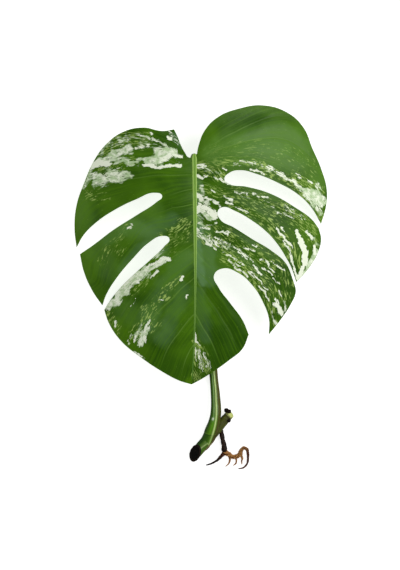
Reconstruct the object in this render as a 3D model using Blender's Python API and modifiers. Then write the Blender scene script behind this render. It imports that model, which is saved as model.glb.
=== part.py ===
"""A rooted cutting of a variegated monstera, lying on a flat surface with its leaf face up.

Run with: blender --background --python part.py
Everything is in metres with +Z up. The leaf's base, where the petiole meets the blade, is the
point that the shapes are drawn about. +Y runs from the stem towards the leaf's lobes.
"""

import math

import bmesh
import bpy
from mathutils import Matrix, Vector

MM = 0.001

# Driving dimensions
BLADE_WIDTH = 0.250          # the blade across its widest fingers
BLADE_REACH = 0.223          # from the petiole's joint to the blade's tip
BLADE_THICKNESS = 0.0008
BLADE_JOINT_HEIGHT = 0.040   # the blade above the surface at the petiole's joint
BLADE_CROWN = 0.006          # extra rise halfway to the tip
BLADE_SHOULDER = 0.024       # how steeply the two halves leave the midrib
TIP_CLEARANCE = 0.0035       # the blade's tip above the petiole that passes under it
MIDRIB_BASE_RADIUS = 0.0034
MIDRIB_TIP_RADIUS = 0.0008
MIDRIB_START = 0.0013        # how far right of the base the midrib starts
MIDRIB_BOW = 0.0025          # how far further right it would run without its bend
MIDRIB_BEND = 0.0053         # how far it then bends left, nearly all of it near the tip
PETIOLE_RADIUS = 0.0039
CLASP_RADIUS = 0.0058        # the petiole's widest, where it clasps the stem
KNEE_RADIUS = 0.0046         # the swollen top of the petiole
STEM_RADIUS = 0.0055
STEM_MID_RADIUS = 0.0050
STEM_END_RADIUS = 0.0045     # at the younger, pale cut
TIP_TO_NODE = 0.0543         # from the blade's tip to the node, along -Y
NODE_OFFSET = 0.0145         # the node to the right of the blade's base
CAP_THICKNESS = 0.0016       # the black layer that seals the old cut
CAP_OVERHANG = 0.0004        # how far it stands past the stem's side
AERIAL_ROOT_RADIUS = 0.0019
SOIL_ROOT_RADIUS = 0.0022
FIT_GAP = 0.0003             # between two pieces that grow from each other

# The drawing of the blade's edge is for a blade of these sizes and is stretched to the real ones.
DRAWN_WIDTH = 250.0
DRAWN_REACH = 223.0
GRID_STEP = 0.0062           # spacing of the blade's surface points

# The blade's edge in millimetres about its base, clockwise from the notch. Each stretch is smooth
# and ends in a corner.
EDGE = (
    # right lobe
    ((3.5, 1), (5.5, 11), (12, 26), (25, 38.5), (44.5, 46.5), (68, 50.5), (92.5, 44.5), (109, 30),
     (117.5, 10.5), (126.5, -9.5), (132.5, -31), (131.5, -47.5), (126.5, -64.5)),
    # first slot on the right
    ((126.5, -64.5), (116.5, -48.5), (103, -36), (81.5, -24.5), (62, -17), (46.5, -13.5),
     (35.5, -16), (30.5, -22.5), (35.5, -27), (52, -29.5), (75.5, -36), (101, -49.5),
     (116.5, -60), (124, -69)),
    # second finger on the right
    ((124, -69), (126.5, -79.5), (123.5, -92.5), (116.5, -105), (108, -115.5), (101.5, -122)),
    # second slot on the right
    ((101.5, -122), (97, -109), (90.5, -97), (82.5, -85), (72, -73.5), (56, -61.5), (40.5, -53),
     (29, -49.5), (24, -53.5), (26.5, -61.5), (39.5, -69), (58, -80.5), (76.5, -91.5),
     (91, -104), (98.5, -121)),
    # third finger on the right
    ((98.5, -121), (101, -131.5), (96, -144), (86.5, -158.5), (74.5, -173.5)),
    # third slot on the right
    ((74.5, -173.5), (74.5, -158.5), (69, -143), (58, -125.5), (43.5, -113), (29, -109),
     (20.5, -115.5), (25, -127.5), (36.5, -143), (48.5, -159.5), (54.5, -173.5)),
    # right of the tip
    ((54.5, -173.5), (48.5, -187.5), (34.5, -199.5), (20, -210), (8.5, -217.5), (-1.5, -223)),
    # left of the tip
    ((-1.5, -223), (-14, -219), (-31.5, -209.5), (-51.5, -196), (-71, -180), (-83, -162.5),
     (-87.5, -149.5)),
    # second slot on the left
    ((-87.5, -149.5), (-84.5, -144.5), (-72, -128.5), (-57, -114), (-41.5, -100.5), (-28, -87.5),
     (-23, -80), (-30, -77.5), (-42.5, -83.5), (-59, -99.5), (-74.5, -117.5), (-85.5, -134.5),
     (-89.5, -145)),
    # second finger on the left
    ((-89.5, -145), (-99, -131.5), (-108, -112), (-112, -94.5)),
    # first slot on the left
    ((-112, -94.5), (-98, -85.5), (-78.5, -71.5), (-54, -56.5), (-35.5, -44.5), (-30, -38.5),
     (-37.5, -35.5), (-55, -41.5), (-76.5, -51.5), (-96, -64), (-109, -76.5), (-115.5, -87.5)),
    # left lobe
    ((-115.5, -87.5), (-117.5, -70), (-115.5, -46.5), (-107.5, -24), (-98, -3.5), (-86.5, 12),
     (-69, 24.5), (-48.5, 28.5), (-30, 25), (-18.5, 27)),
    # left side of the notch
    ((-18.5, 27), (-15, 19.5), (-11.5, 10.5), (-8, 4), (-4, -1), (3.5, 1)),
)

# The right lobe's inner edge lifts along a crease, and the left lobe's inner edge curls under.
CREASE_ANGLE = math.radians(29)
CREASE_SLOPE = 0.30
CURL_FROM = Vector((-4.0, -1.0)) * MM
CURL_TO = Vector((-18.5, 27.0)) * MM
CURL_DROP = 0.008
CURL_REACH = 0.009

NODE = Vector((NODE_OFFSET, -(BLADE_REACH + TIP_TO_NODE), 0.0))
STEM_HEADING = Vector((0.665, 0.747, 0.0)).normalized()
OLD_CUT_POINT = NODE - 16.9 * MM * STEM_HEADING + Vector((0, 0, STEM_RADIUS + 6.1 * MM))
OLD_CUT_NORMAL = Vector((-0.52, -0.03, 0.85)).normalized()
YOUNG_CUT_POINT = NODE + 33.0 * MM * STEM_HEADING + Vector((0, 0, STEM_END_RADIUS))
YOUNG_CUT_NORMAL = Vector((0.62, 0.66, 0.42)).normalized()


def clear_scene():
    for old in list(bpy.data.objects):
        bpy.data.objects.remove(old, do_unlink=True)


def make_collection(name):
    made = bpy.data.collections.new(name)
    bpy.context.scene.collection.children.link(made)
    return made


def make_material(name, colour, roughness):
    made = bpy.data.materials.new(name)
    made.use_nodes = True
    shader = made.node_tree.nodes["Principled BSDF"]
    shader.inputs["Base Color"].default_value = (*colour, 1.0)
    shader.inputs["Roughness"].default_value = roughness
    shader.inputs["Metallic"].default_value = 0.0
    return made


def add_object(name, data, parent, collection, material=None):
    made = bpy.data.objects.new(name, data)
    collection.objects.link(made)
    made.parent = parent
    if material:
        data.materials.append(material)
    return made


def hide_as_cutter(cutter):
    cutter.hide_render = True
    cutter.display_type = "WIRE"
    return cutter


def add_boolean(target, cutter, operation):
    cut = target.modifiers.new(operation.title() + "_" + cutter.name, "BOOLEAN")
    cut.operation = operation
    cut.solver = "EXACT"
    cut.object = cutter


def mesh_from_curve(curve_object):
    """Turns a curve object into a mesh object whose caps are welded to its sides."""
    bpy.context.view_layer.update()
    graph = bpy.context.evaluated_depsgraph_get()
    mesh = bpy.data.meshes.new_from_object(curve_object.evaluated_get(graph))
    shape = bmesh.new()
    shape.from_mesh(mesh)
    bmesh.ops.remove_doubles(shape, verts=shape.verts, dist=0.00001)
    bmesh.ops.recalc_face_normals(shape, faces=shape.faces)
    shape.to_mesh(mesh)
    shape.free()
    mesh.shade_smooth()
    mesh.set_sharp_from_angle(angle=math.radians(50))
    name, parent = curve_object.name, curve_object.parent
    collection = curve_object.users_collection[0]
    curve = curve_object.data
    bpy.data.objects.remove(curve_object)
    bpy.data.curves.remove(curve)
    return add_object(name, mesh, parent, collection)


def make_tube(name, route, parent, collection, material, sides=8, steps=4):
    """A round stalk through (point, radius) pairs, smooth along its length, with closed ends."""
    curve = bpy.data.curves.new(name, "CURVE")
    curve.dimensions = "3D"
    curve.resolution_u = steps
    curve.bevel_depth = MM
    curve.bevel_resolution = (sides - 4) // 2
    curve.use_fill_caps = True
    spline = curve.splines.new("BEZIER")
    spline.bezier_points.add(len(route) - 1)
    for knot, (point, radius) in zip(spline.bezier_points, route):
        knot.co = point
        knot.radius = radius / MM
        knot.handle_left_type = "AUTO"
        knot.handle_right_type = "AUTO"
    made = mesh_from_curve(add_object(name, curve, parent, collection))
    if material:
        made.data.materials.append(material)
    return made


def thicker(route, extra):
    """The same route with a larger girth and both ends that much further out."""
    grown = [(point.copy(), radius + extra) for point, radius in route]
    for end, inner in ((0, 1), (-1, -2)):
        outward = (route[end][0] - route[inner][0]).normalized()
        grown[end] = (route[end][0] + outward * extra, route[end][1] + extra)
    return grown


def smooth_noise(seed, position):
    """A repeatable wobble between -1 and 1, for the uneven girth of roots."""
    return math.sin(seed + 2.1 * position) * 0.6 + math.sin(2.7 * seed + 5.3 * position) * 0.4


# ---------------------------------------------------------------- the blade

def ridge_height(y):
    """Height of the midrib line above the surface."""
    along = -y / BLADE_REACH
    tip_height = 2 * PETIOLE_RADIUS + TIP_CLEARANCE
    fall = (tip_height - BLADE_JOINT_HEIGHT) * along * along
    return BLADE_JOINT_HEIGHT + fall + BLADE_CROWN * 4 * along * (1 - along)


def midrib_x(y):
    """How far right of the blade's base the midrib runs."""
    along = -y / BLADE_REACH
    return MIDRIB_START + MIDRIB_BOW * along - MIDRIB_BEND * along**4


def lobe_shaping(x, y):
    """The lifted crease of the right lobe and the curled edge of the left one."""
    if x > 0 and y > 0:
        above = y * math.cos(CREASE_ANGLE) - x * math.sin(CREASE_ANGLE)
        return CREASE_SLOPE * max(above, 0.0)
    if x < 0:
        line = CURL_TO - CURL_FROM
        share = min(max((Vector((x, y)) - CURL_FROM).dot(line) / line.length_squared, 0.0), 1.0)
        away = (Vector((x, y)) - CURL_FROM - share * line).length
        return -CURL_DROP * share * math.exp(-((away / CURL_REACH) ** 2))
    return 0.0


def off_midrib(x, y):
    """Distance from the midrib as a share of half the blade's width, negative on the left."""
    return (x - midrib_x(y)) / (BLADE_WIDTH / 2)


def edge_points():
    """The drawn edge at the blade's real size, as a list of stretches of (x, y)."""
    wide = BLADE_WIDTH / DRAWN_WIDTH
    long = BLADE_REACH / DRAWN_REACH
    return [[(x * wide, y * long) for x, y in stretch] for stretch in EDGE]


def side_droop(side):
    """How much one half bends down, so that its margin just comes to rest on the surface."""
    found = []
    for stretch in edge_points():
        for x, y in stretch:
            if x * side > BLADE_WIDTH / 5:
                across = abs(off_midrib(x, y))
                above = ridge_height(y) + BLADE_SHOULDER * across - BLADE_THICKNESS / 2
                found.append(above / across**2)
    return min(found)


DROOP = {-1: side_droop(-1), 1: side_droop(1)}


def blade_height(x, y):
    """Height of the blade's middle surface above the flat surface it lies on."""
    across = off_midrib(x, y)
    droop = DROOP[1 if across > 0 else -1] * across**2
    return ridge_height(y) + BLADE_SHOULDER * abs(across) - droop + lobe_shaping(x, y)


def make_edge_prism(parent, collection):
    """A tall prism with the blade's edge as its outline, which trims the blade's sheet."""
    curve = bpy.data.curves.new("blade_edge", "CURVE")
    curve.dimensions = "2D"
    curve.fill_mode = "BOTH"
    curve.extrude = BLADE_JOINT_HEIGHT * 2
    curve.resolution_u = 2
    stretches = edge_points()
    knots = [(point, n == 0) for stretch in stretches for n, point in enumerate(stretch[:-1])]
    spline = curve.splines.new("BEZIER")
    spline.bezier_points.add(len(knots) - 1)
    spline.use_cyclic_u = True
    for knot, (point, corner) in zip(spline.bezier_points, knots):
        knot.co = (*point, 0.0)
        knot.handle_left_type = "VECTOR" if corner else "AUTO"
        knot.handle_right_type = "VECTOR" if corner else "AUTO"
    return hide_as_cutter(mesh_from_curve(add_object("blade_edge", curve, parent, collection)))


def make_blade(parent, parts, cutters, material):
    """A gently arched sheet over the drawn edge, with its slots open at the margin."""
    points = [point for stretch in edge_points() for point in stretch]
    # Whole steps either side of the midrib, and rows moved along with it, put points on its crease.
    left, right, down, up = (
        math.ceil(reach / GRID_STEP) + 1
        for reach in (
            -min(p[0] for p in points),
            max(p[0] for p in points),
            -min(p[1] for p in points),
            max(p[1] for p in points),
        )
    )
    sheet = bmesh.new()
    bmesh.ops.create_grid(sheet, x_segments=left + right, y_segments=down + up, size=0.5)
    for point in sheet.verts:
        y = ((point.co.y + 0.5) * (down + up) - down) * GRID_STEP
        x = ((point.co.x + 0.5) * (left + right) - left) * GRID_STEP + midrib_x(y)
        point.co = (x, y, blade_height(x, y))
    mesh = bpy.data.meshes.new("leaf_blade")
    sheet.to_mesh(mesh)
    sheet.free()
    mesh.shade_smooth()
    blade = add_object("leaf_blade", mesh, parent, parts, material)
    thick = blade.modifiers.new("Thickness", "SOLIDIFY")
    thick.thickness = BLADE_THICKNESS
    thick.offset = 0.0
    add_boolean(blade, make_edge_prism(parent, cutters), "INTERSECT")
    return blade


def midrib_route():
    """The rib under the blade, thick at the petiole and thin at the tip."""
    route = []
    for step in range(12):
        share = step / 11
        y = 1.5 * MM - share * (BLADE_REACH - 5 * MM)
        radius = MIDRIB_BASE_RADIUS + (MIDRIB_TIP_RADIUS - MIDRIB_BASE_RADIUS) * share
        z = ridge_height(y) - BLADE_THICKNESS / 2 - FIT_GAP - radius
        route.append((Vector((midrib_x(y), y, z)), radius))
    return route


# ---------------------------------------------------------------- the stalks

def petiole_route():
    """From inside the node, over the stem, along the surface and up to the blade's base."""
    base = STEM_RADIUS
    near_node = (
        # offset from the node in x and y, height, radius
        ((-0.6, -0.5), base + 3.6 * MM, 0.97 * CLASP_RADIUS),
        ((2.6, 7.0), base + 5.4 * MM, CLASP_RADIUS),
        ((5.7, 15.1), base + 6.4 * MM, 0.94 * CLASP_RADIUS),
        ((7.6, 23.3), base + 6.2 * MM, 0.87 * CLASP_RADIUS),
        ((8.1, 31.3), base + 5.0 * MM, 0.81 * CLASP_RADIUS),
        ((7.8, 39.5), base + 2.9 * MM, 1.12 * PETIOLE_RADIUS),
        ((7.2, 47.6), 1.75 * PETIOLE_RADIUS, 1.06 * PETIOLE_RADIUS),
        ((6.4, 56.0), 1.35 * PETIOLE_RADIUS, PETIOLE_RADIUS),
        ((4.9, 72.0), 1.10 * PETIOLE_RADIUS, PETIOLE_RADIUS),
    )
    route = [
        (NODE + Vector((x * MM, y * MM, height)), radius)
        for (x, y), height, radius in near_node
    ]
    start = route[-1][0]
    flat_end = Vector((4.0 * MM, -0.34 * BLADE_REACH, PETIOLE_RADIUS))
    for share, height in ((0.3, 1.02), (0.62, 1.0), (1.0, 1.0)):
        bow = 1.5 * MM * math.sin(math.pi * share)
        point = start.lerp(flat_end, share) - Vector((bow, 0, 0))
        point.z = height * PETIOLE_RADIUS
        route.append((point, PETIOLE_RADIUS))
    top = ridge_height(0) - BLADE_THICKNESS - FIT_GAP - 2 * MIDRIB_BASE_RADIUS + 1.2 * MM
    rise = (
        # y, share of the climb, x, radius
        (-62.0, 0.035, 3.3, PETIOLE_RADIUS),
        (-48.0, 0.13, 2.8, PETIOLE_RADIUS),
        (-28.0, 0.38, 2.2, 0.5 * (PETIOLE_RADIUS + KNEE_RADIUS)),
        (-14.0, 0.68, 1.7, KNEE_RADIUS),
        (-5.5, 0.90, 1.4, KNEE_RADIUS),
        (-3.0, 1.00, 1.3, KNEE_RADIUS * 0.9),
    )
    for y, share, x, radius in rise:
        height = PETIOLE_RADIUS + share * (top - PETIOLE_RADIUS)
        route.append((Vector((x * MM, y * MM, height)), radius))
    return route


def stem_route():
    """The length of stem that was cut with the leaf, from the old cut to the younger one."""
    line = (
        # along the stem from the node, height of its underside, radius
        (-25.0, 8.6, 0.97 * STEM_RADIUS),
        (-16.9, 5.2, 0.98 * STEM_RADIUS),
        (-8.0, 2.0, STEM_RADIUS),
        (1.0, 0.3, STEM_RADIUS),
        (17.0, 0.0, STEM_MID_RADIUS),
        (37.0, 0.0, STEM_END_RADIUS),
    )
    return [
        (NODE + along * MM * STEM_HEADING + Vector((0, 0, radius + lift * MM)), radius)
        for along, lift, radius in line
    ]


def make_cut_block(name, point, normal, near, far, parent, collection):
    """A block from `near` to `far` beyond the plane through `point`, along its normal."""
    bpy.ops.mesh.primitive_cube_add(size=1.0)
    block = bpy.context.object
    for holder in list(block.users_collection):
        holder.objects.unlink(block)
    collection.objects.link(block)
    block.name = name
    block.parent = parent
    block.scale = (40 * MM, 40 * MM, far - near)
    block.rotation_mode = "QUATERNION"
    block.rotation_quaternion = normal.to_track_quat("Z", "Y")
    block.location = point + normal * (near + far) / 2
    return hide_as_cutter(block)


def make_knob(name, centre, size, turn, parent, collection, material):
    """A lumpy bud or scale: a rounded block with one end drawn in."""
    knob = bmesh.new()
    bmesh.ops.create_uvsphere(knob, u_segments=10, v_segments=7, radius=0.5)
    for point in knob.verts:
        narrow = 1.0 - 0.35 * max(point.co.z, 0.0) * 2
        wobble = 1.0 + 0.10 * smooth_noise(centre.x / MM, 6 * point.co.x + 4 * point.co.y)
        point.co = Vector((point.co.x * narrow, point.co.y * narrow, point.co.z)) * wobble
    mesh = bpy.data.meshes.new(name)
    knob.transform(Matrix.Diagonal((*size, 1.0)))
    knob.to_mesh(mesh)
    knob.free()
    mesh.shade_smooth()
    made = add_object(name, mesh, parent, collection, material)
    made.rotation_euler = turn
    made.location = centre
    return made


def root_route(offsets, radius, end_radius, seed, neck=1.0):
    """A root through offsets from the node in millimetres, tapering and a little uneven.

    Its first point is inside what it grows from, so `neck` draws it in there.
    """
    route = []
    for step, (x, y, height) in enumerate(offsets):
        share = step / (len(offsets) - 1)
        girth = (radius + (end_radius - radius) * share) * (1 + 0.08 * smooth_noise(seed, step))
        point = NODE + Vector((x * MM, y * MM, girth + height * MM))
        route.append((point, girth if step else girth * neck))
    return route


AERIAL_ROOT = ((11, 15.5, 2.2), (12.8, 11.4, 0.6), (13.5, 5.6, 0.1), (14.8, -0.6, 0.4),
               (16.0, -6.4, 0.2), (16.5, -12.2, 0.0))
LEFT_ROOT = ((16.5, -11.4, 0), (15.6, -14.6, 0.2), (12.8, -17.8, 0), (9.6, -21, 0.3),
             (4.4, -24.2, 0), (-1.5, -26.2, 0.2))
RIGHT_ROOT = ((16.5, -12.4, 0), (20.5, -15.2, 0.5), (24.8, -17.6, 1.0), (29.0, -17.0, 1.3),
              (33.0, -14.8, 2.0))
ARCH_ROOT = ((32.2, -15.2, 1.8), (33.0, -11.0, 4.4), (35.4, -8.4, 5.8), (38.4, -9.8, 5.5),
             (39.6, -14.2, 3.5), (39.8, -19.4, 1.2), (39.0, -24.6, 0.2), (35.6, -28.6, 0.0),
             (30.5, -29.8, 0.0))
ROOTLETS = (
    ((21.5, -17, 0.6), (21.9, -20.6, 0.4), (20.8, -24.5, 0.3), (17.8, -27.4, 0.2)),
    ((27.2, -18.2, 1.0), (28.4, -21.4, 0.6), (27.8, -24.4, 0.2), (25.2, -26.6, 0.1)),
    ((33.2, -17, 1.5), (34.2, -19.8, 1.0), (33.6, -22.4, 0.4), (33.9, -25.4, 0.1)),
)


def build():
    clear_scene()
    parts = make_collection("monstera_cutting")
    cutters = make_collection("cutters")
    origin = bpy.data.objects.new("origin", None)
    parts.objects.link(origin)

    green = make_material("leaf_green", (0.09, 0.22, 0.03), 0.35)
    rib_green = make_material("rib_green", (0.30, 0.45, 0.12), 0.45)
    stalk_green = make_material("stalk_green", (0.12, 0.28, 0.03), 0.35)
    stem_green = make_material("stem_green", (0.10, 0.17, 0.03), 0.55)
    black = make_material("dried_black", (0.015, 0.012, 0.010), 0.8)
    brown = make_material("root_brown", (0.22, 0.11, 0.04), 0.6)
    tan = make_material("sheath_tan", (0.30, 0.22, 0.12), 0.8)

    make_blade(origin, parts, cutters, green)
    rib = midrib_route()
    make_tube("midrib", rib, origin, parts, rib_green, sides=10, steps=2)

    def clearance_of(name, route, sides, steps):
        return hide_as_cutter(
            make_tube(name, thicker(route, FIT_GAP), origin, cutters, None, sides, steps)
        )

    # The stem, its old cut and the black layer that seals it.
    stem_line = stem_route()
    stem = make_tube("stem", stem_line, origin, parts, stem_green, sides=16, steps=4)
    old_cut = (OLD_CUT_POINT, OLD_CUT_NORMAL)
    young_cut = (YOUNG_CUT_POINT, YOUNG_CUT_NORMAL)
    for name, plane in (("old_cut", old_cut), ("young_cut", young_cut)):
        block = make_cut_block(name, *plane, 0.0, 20 * MM, origin, cutters)
        add_boolean(stem, block, "DIFFERENCE")
    cap = make_tube("dried_cut", thicker(stem_line, CAP_OVERHANG), origin, parts, black, 16, 4)
    slab = make_cut_block("cap_slab", *old_cut, FIT_GAP, FIT_GAP + CAP_THICKNESS, origin, cutters)
    add_boolean(cap, slab, "INTERSECT")

    # The petiole clasps the stem at the node and meets the midrib at the blade's base.
    stem_clearance = clearance_of("stem_clearance", stem_line, 16, 4)
    petiole = make_tube("petiole", petiole_route(), origin, parts, stalk_green, 12, 4)
    add_boolean(petiole, stem_clearance, "DIFFERENCE")
    add_boolean(petiole, clearance_of("midrib_clearance", rib, 10, 2), "DIFFERENCE")
    return origin, parts, cutters, stem_clearance, black, brown, tan, clearance_of


def on_stem(along, around, lift):
    """A point `lift` mm outside the stem's side.

    `along` is in mm from the node towards the young cut, and `around` is in degrees from straight
    up, towards the right as seen looking along the stem to the young cut.
    """
    line = stem_route()
    places = [(point - NODE).dot(STEM_HEADING) / MM for point, _ in line]
    step = 0
    while step < len(line) - 2 and along > places[step + 1]:
        step += 1
    share = (along - places[step]) / (places[step + 1] - places[step])
    centre = line[step][0].lerp(line[step + 1][0], share)
    radius = line[step][1] + (line[step + 1][1] - line[step][1]) * share
    direction = (line[step + 1][0] - line[step][0]).normalized()
    right = direction.cross(Vector((0, 0, 1))).normalized()
    up = right.cross(direction)
    turn = math.radians(around)
    return centre + (radius + lift * MM) * (math.cos(turn) * up + math.sin(turn) * right)


def add_stem_growths(origin, parts, stem_clearance, petiole_clearance, black, tan):
    """What sits on the stem: the dead bud and scales at the young cut, and the dry sheath."""
    knobs = (
        # name, place on the stem, size, turn
        ("dead_bud", (33.4, -72, 0.9), (4.6, 4.4, 5.2), (0.3, -0.4, 0.0)),
        ("upper_scale", (34.6, -26, 1.3), (4.0, 3.8, 3.2), (0.2, 0.4, 0.3)),
        ("lower_scale", (27.6, 44, 0.6), (3.6, 3.4, 3.6), (1.2, 0.3, 0.2)),
    )
    for name, place, size, turn in knobs:
        knob = make_knob(name, on_stem(*place), Vector(size) * MM, turn, origin, parts, black)
        add_boolean(knob, stem_clearance, "DIFFERENCE")
    sheath_line = [
        (on_stem(along, around, lift), radius * MM)
        for along, around, lift, radius in (
            (6.0, 75, 0.1, 0.7), (1.0, 70, 0.2, 1.0), (-4.5, 66, 0.3, 1.1), (-9.5, 66, 0.3, 0.9),
            (-12.8, 67, 0.2, 0.6),
        )
    ]
    sheath = make_tube("dry_sheath", sheath_line, origin, parts, tan, 8, 3)
    add_boolean(sheath, stem_clearance, "DIFFERENCE")
    add_boolean(sheath, petiole_clearance, "DIFFERENCE")


def add_roots(origin, parts, stem_clearance, black, brown, clearance_of):
    """One black aerial root from the node, and the brown roots that branch from its end."""
    aerial = root_route(AERIAL_ROOT, AERIAL_ROOT_RADIUS, AERIAL_ROOT_RADIUS * 1.45, 1.0)
    left = root_route(LEFT_ROOT, SOIL_ROOT_RADIUS, SOIL_ROOT_RADIUS * 0.25, 2.0, neck=0.6)
    right = root_route(RIGHT_ROOT, SOIL_ROOT_RADIUS, SOIL_ROOT_RADIUS, 3.0, neck=0.6)
    arch = root_route(ARCH_ROOT, SOIL_ROOT_RADIUS, SOIL_ROOT_RADIUS * 0.25, 4.0, neck=0.6)
    aerial_root = make_tube("aerial_root", aerial, origin, parts, black, 10, 3)
    add_boolean(aerial_root, stem_clearance, "DIFFERENCE")

    aerial_clearance = clearance_of("aerial_clearance", aerial, 10, 3)
    left_clearance = clearance_of("left_clearance", left, 8, 3)
    right_clearance = clearance_of("right_clearance", right, 8, 3)
    arch_clearance = clearance_of("arch_clearance", arch, 8, 3)

    left_root = make_tube("left_root", left, origin, parts, brown, 8, 3)
    add_boolean(left_root, aerial_clearance, "DIFFERENCE")
    right_root = make_tube("right_root", right, origin, parts, brown, 8, 3)
    add_boolean(right_root, aerial_clearance, "DIFFERENCE")
    add_boolean(right_root, left_clearance, "DIFFERENCE")
    arch_root = make_tube("arch_root", arch, origin, parts, brown, 8, 3)
    add_boolean(arch_root, right_clearance, "DIFFERENCE")
    for number, offsets in enumerate(ROOTLETS, start=1):
        line = root_route(offsets, SOIL_ROOT_RADIUS * 0.55, SOIL_ROOT_RADIUS * 0.2, 5.0 + number)
        rootlet = make_tube(f"rootlet_{number}", line, origin, parts, brown, 8, 3)
        add_boolean(rootlet, right_clearance, "DIFFERENCE")
        add_boolean(rootlet, arch_clearance, "DIFFERENCE")


def seat_on_surface(origin, parts):
    """Moves the whole cutting so that the middle of its box's underside is the frame's origin."""
    bpy.context.view_layer.update()
    graph = bpy.context.evaluated_depsgraph_get()
    corners = [
        shape.matrix_world @ point.co
        for shape in (o.evaluated_get(graph) for o in parts.objects if o.type == "MESH")
        for point in shape.data.vertices
    ]
    low = Vector(min(corner[axis] for corner in corners) for axis in range(3))
    high = Vector(max(corner[axis] for corner in corners) for axis in range(3))
    origin.location = (-(low.x + high.x) / 2, -(low.y + high.y) / 2, -low.z)


def main():
    origin, parts, cutters, stem_clearance, black, brown, tan, clearance_of = build()
    petiole_clearance = clearance_of("petiole_clearance", petiole_route(), 12, 4)
    add_stem_growths(origin, parts, stem_clearance, petiole_clearance, black, tan)
    add_roots(origin, parts, stem_clearance, black, brown, clearance_of)
    seat_on_surface(origin, parts)


main()
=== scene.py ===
"""A rooted cutting of a variegated monstera lying on a pale table, seen from straight above.

It builds the finished leaf, stalks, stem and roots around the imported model. Places in the tables
are in millimetres. The blade's are measured from its base, where the petiole meets it, and the
roots' from the node on the stem. Everything that is built is in metres.
"""

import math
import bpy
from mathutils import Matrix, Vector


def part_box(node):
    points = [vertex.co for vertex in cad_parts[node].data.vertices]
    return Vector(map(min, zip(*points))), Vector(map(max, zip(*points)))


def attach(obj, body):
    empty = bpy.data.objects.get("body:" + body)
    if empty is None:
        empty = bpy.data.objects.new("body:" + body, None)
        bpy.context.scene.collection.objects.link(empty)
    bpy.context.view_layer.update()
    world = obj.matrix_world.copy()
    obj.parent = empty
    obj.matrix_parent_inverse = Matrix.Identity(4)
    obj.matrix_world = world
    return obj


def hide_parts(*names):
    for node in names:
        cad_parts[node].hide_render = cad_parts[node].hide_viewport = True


bl_info = {
    "name": "Monstera Cutting",
    "version": (1, 0, 0),
    "blender": (4, 5, 0),
    "location": "View3D > Sidebar > Monstera",
    "description": "Models a rooted cutting of a variegated monstera with one slotted leaf",
    "category": "Add Mesh",
}

import bpy
import numpy as np
from bpy.props import FloatProperty, FloatVectorProperty, PointerProperty
from mathutils import Euler, Vector, kdtree, noise
from mathutils.geometry import delaunay_2d_cdt

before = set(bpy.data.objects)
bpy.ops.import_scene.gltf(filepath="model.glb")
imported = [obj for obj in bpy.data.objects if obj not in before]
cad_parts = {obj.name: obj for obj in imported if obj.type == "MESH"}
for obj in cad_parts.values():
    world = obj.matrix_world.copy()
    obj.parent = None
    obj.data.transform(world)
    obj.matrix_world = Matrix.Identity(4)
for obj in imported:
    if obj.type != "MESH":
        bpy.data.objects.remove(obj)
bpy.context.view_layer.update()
MM = 0.001


def paint(red, green, blue):
    """A screen colour from 0 to 255 as the linear colour that shaders take."""
    shares = (value / 255 for value in (red, green, blue))
    return tuple(s / 12.92 if s <= 0.04045 else ((s + 0.055) / 1.055) ** 2.4 for s in shares)


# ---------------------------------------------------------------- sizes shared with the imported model

BLADE_WIDTH = 0.250
BLADE_REACH = 0.223
BLADE_THICKNESS = 0.0008
BLADE_JOINT_HEIGHT = 0.040
BLADE_CROWN = 0.006
BLADE_SHOULDER = 0.024
TIP_CLEARANCE = 0.0035
MIDRIB_START = 0.0013
MIDRIB_BOW = 0.0025
MIDRIB_BEND = 0.0053
PETIOLE_RADIUS = 0.0039
CLASP_RADIUS = 0.0058
KNEE_RADIUS = 0.0046
STEM_RADIUS = 0.0055
STEM_MID_RADIUS = 0.0050
STEM_END_RADIUS = 0.0045
SOIL_ROOT_RADIUS = 0.0022
AERIAL_ROOT_RADIUS = 0.0019

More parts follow.
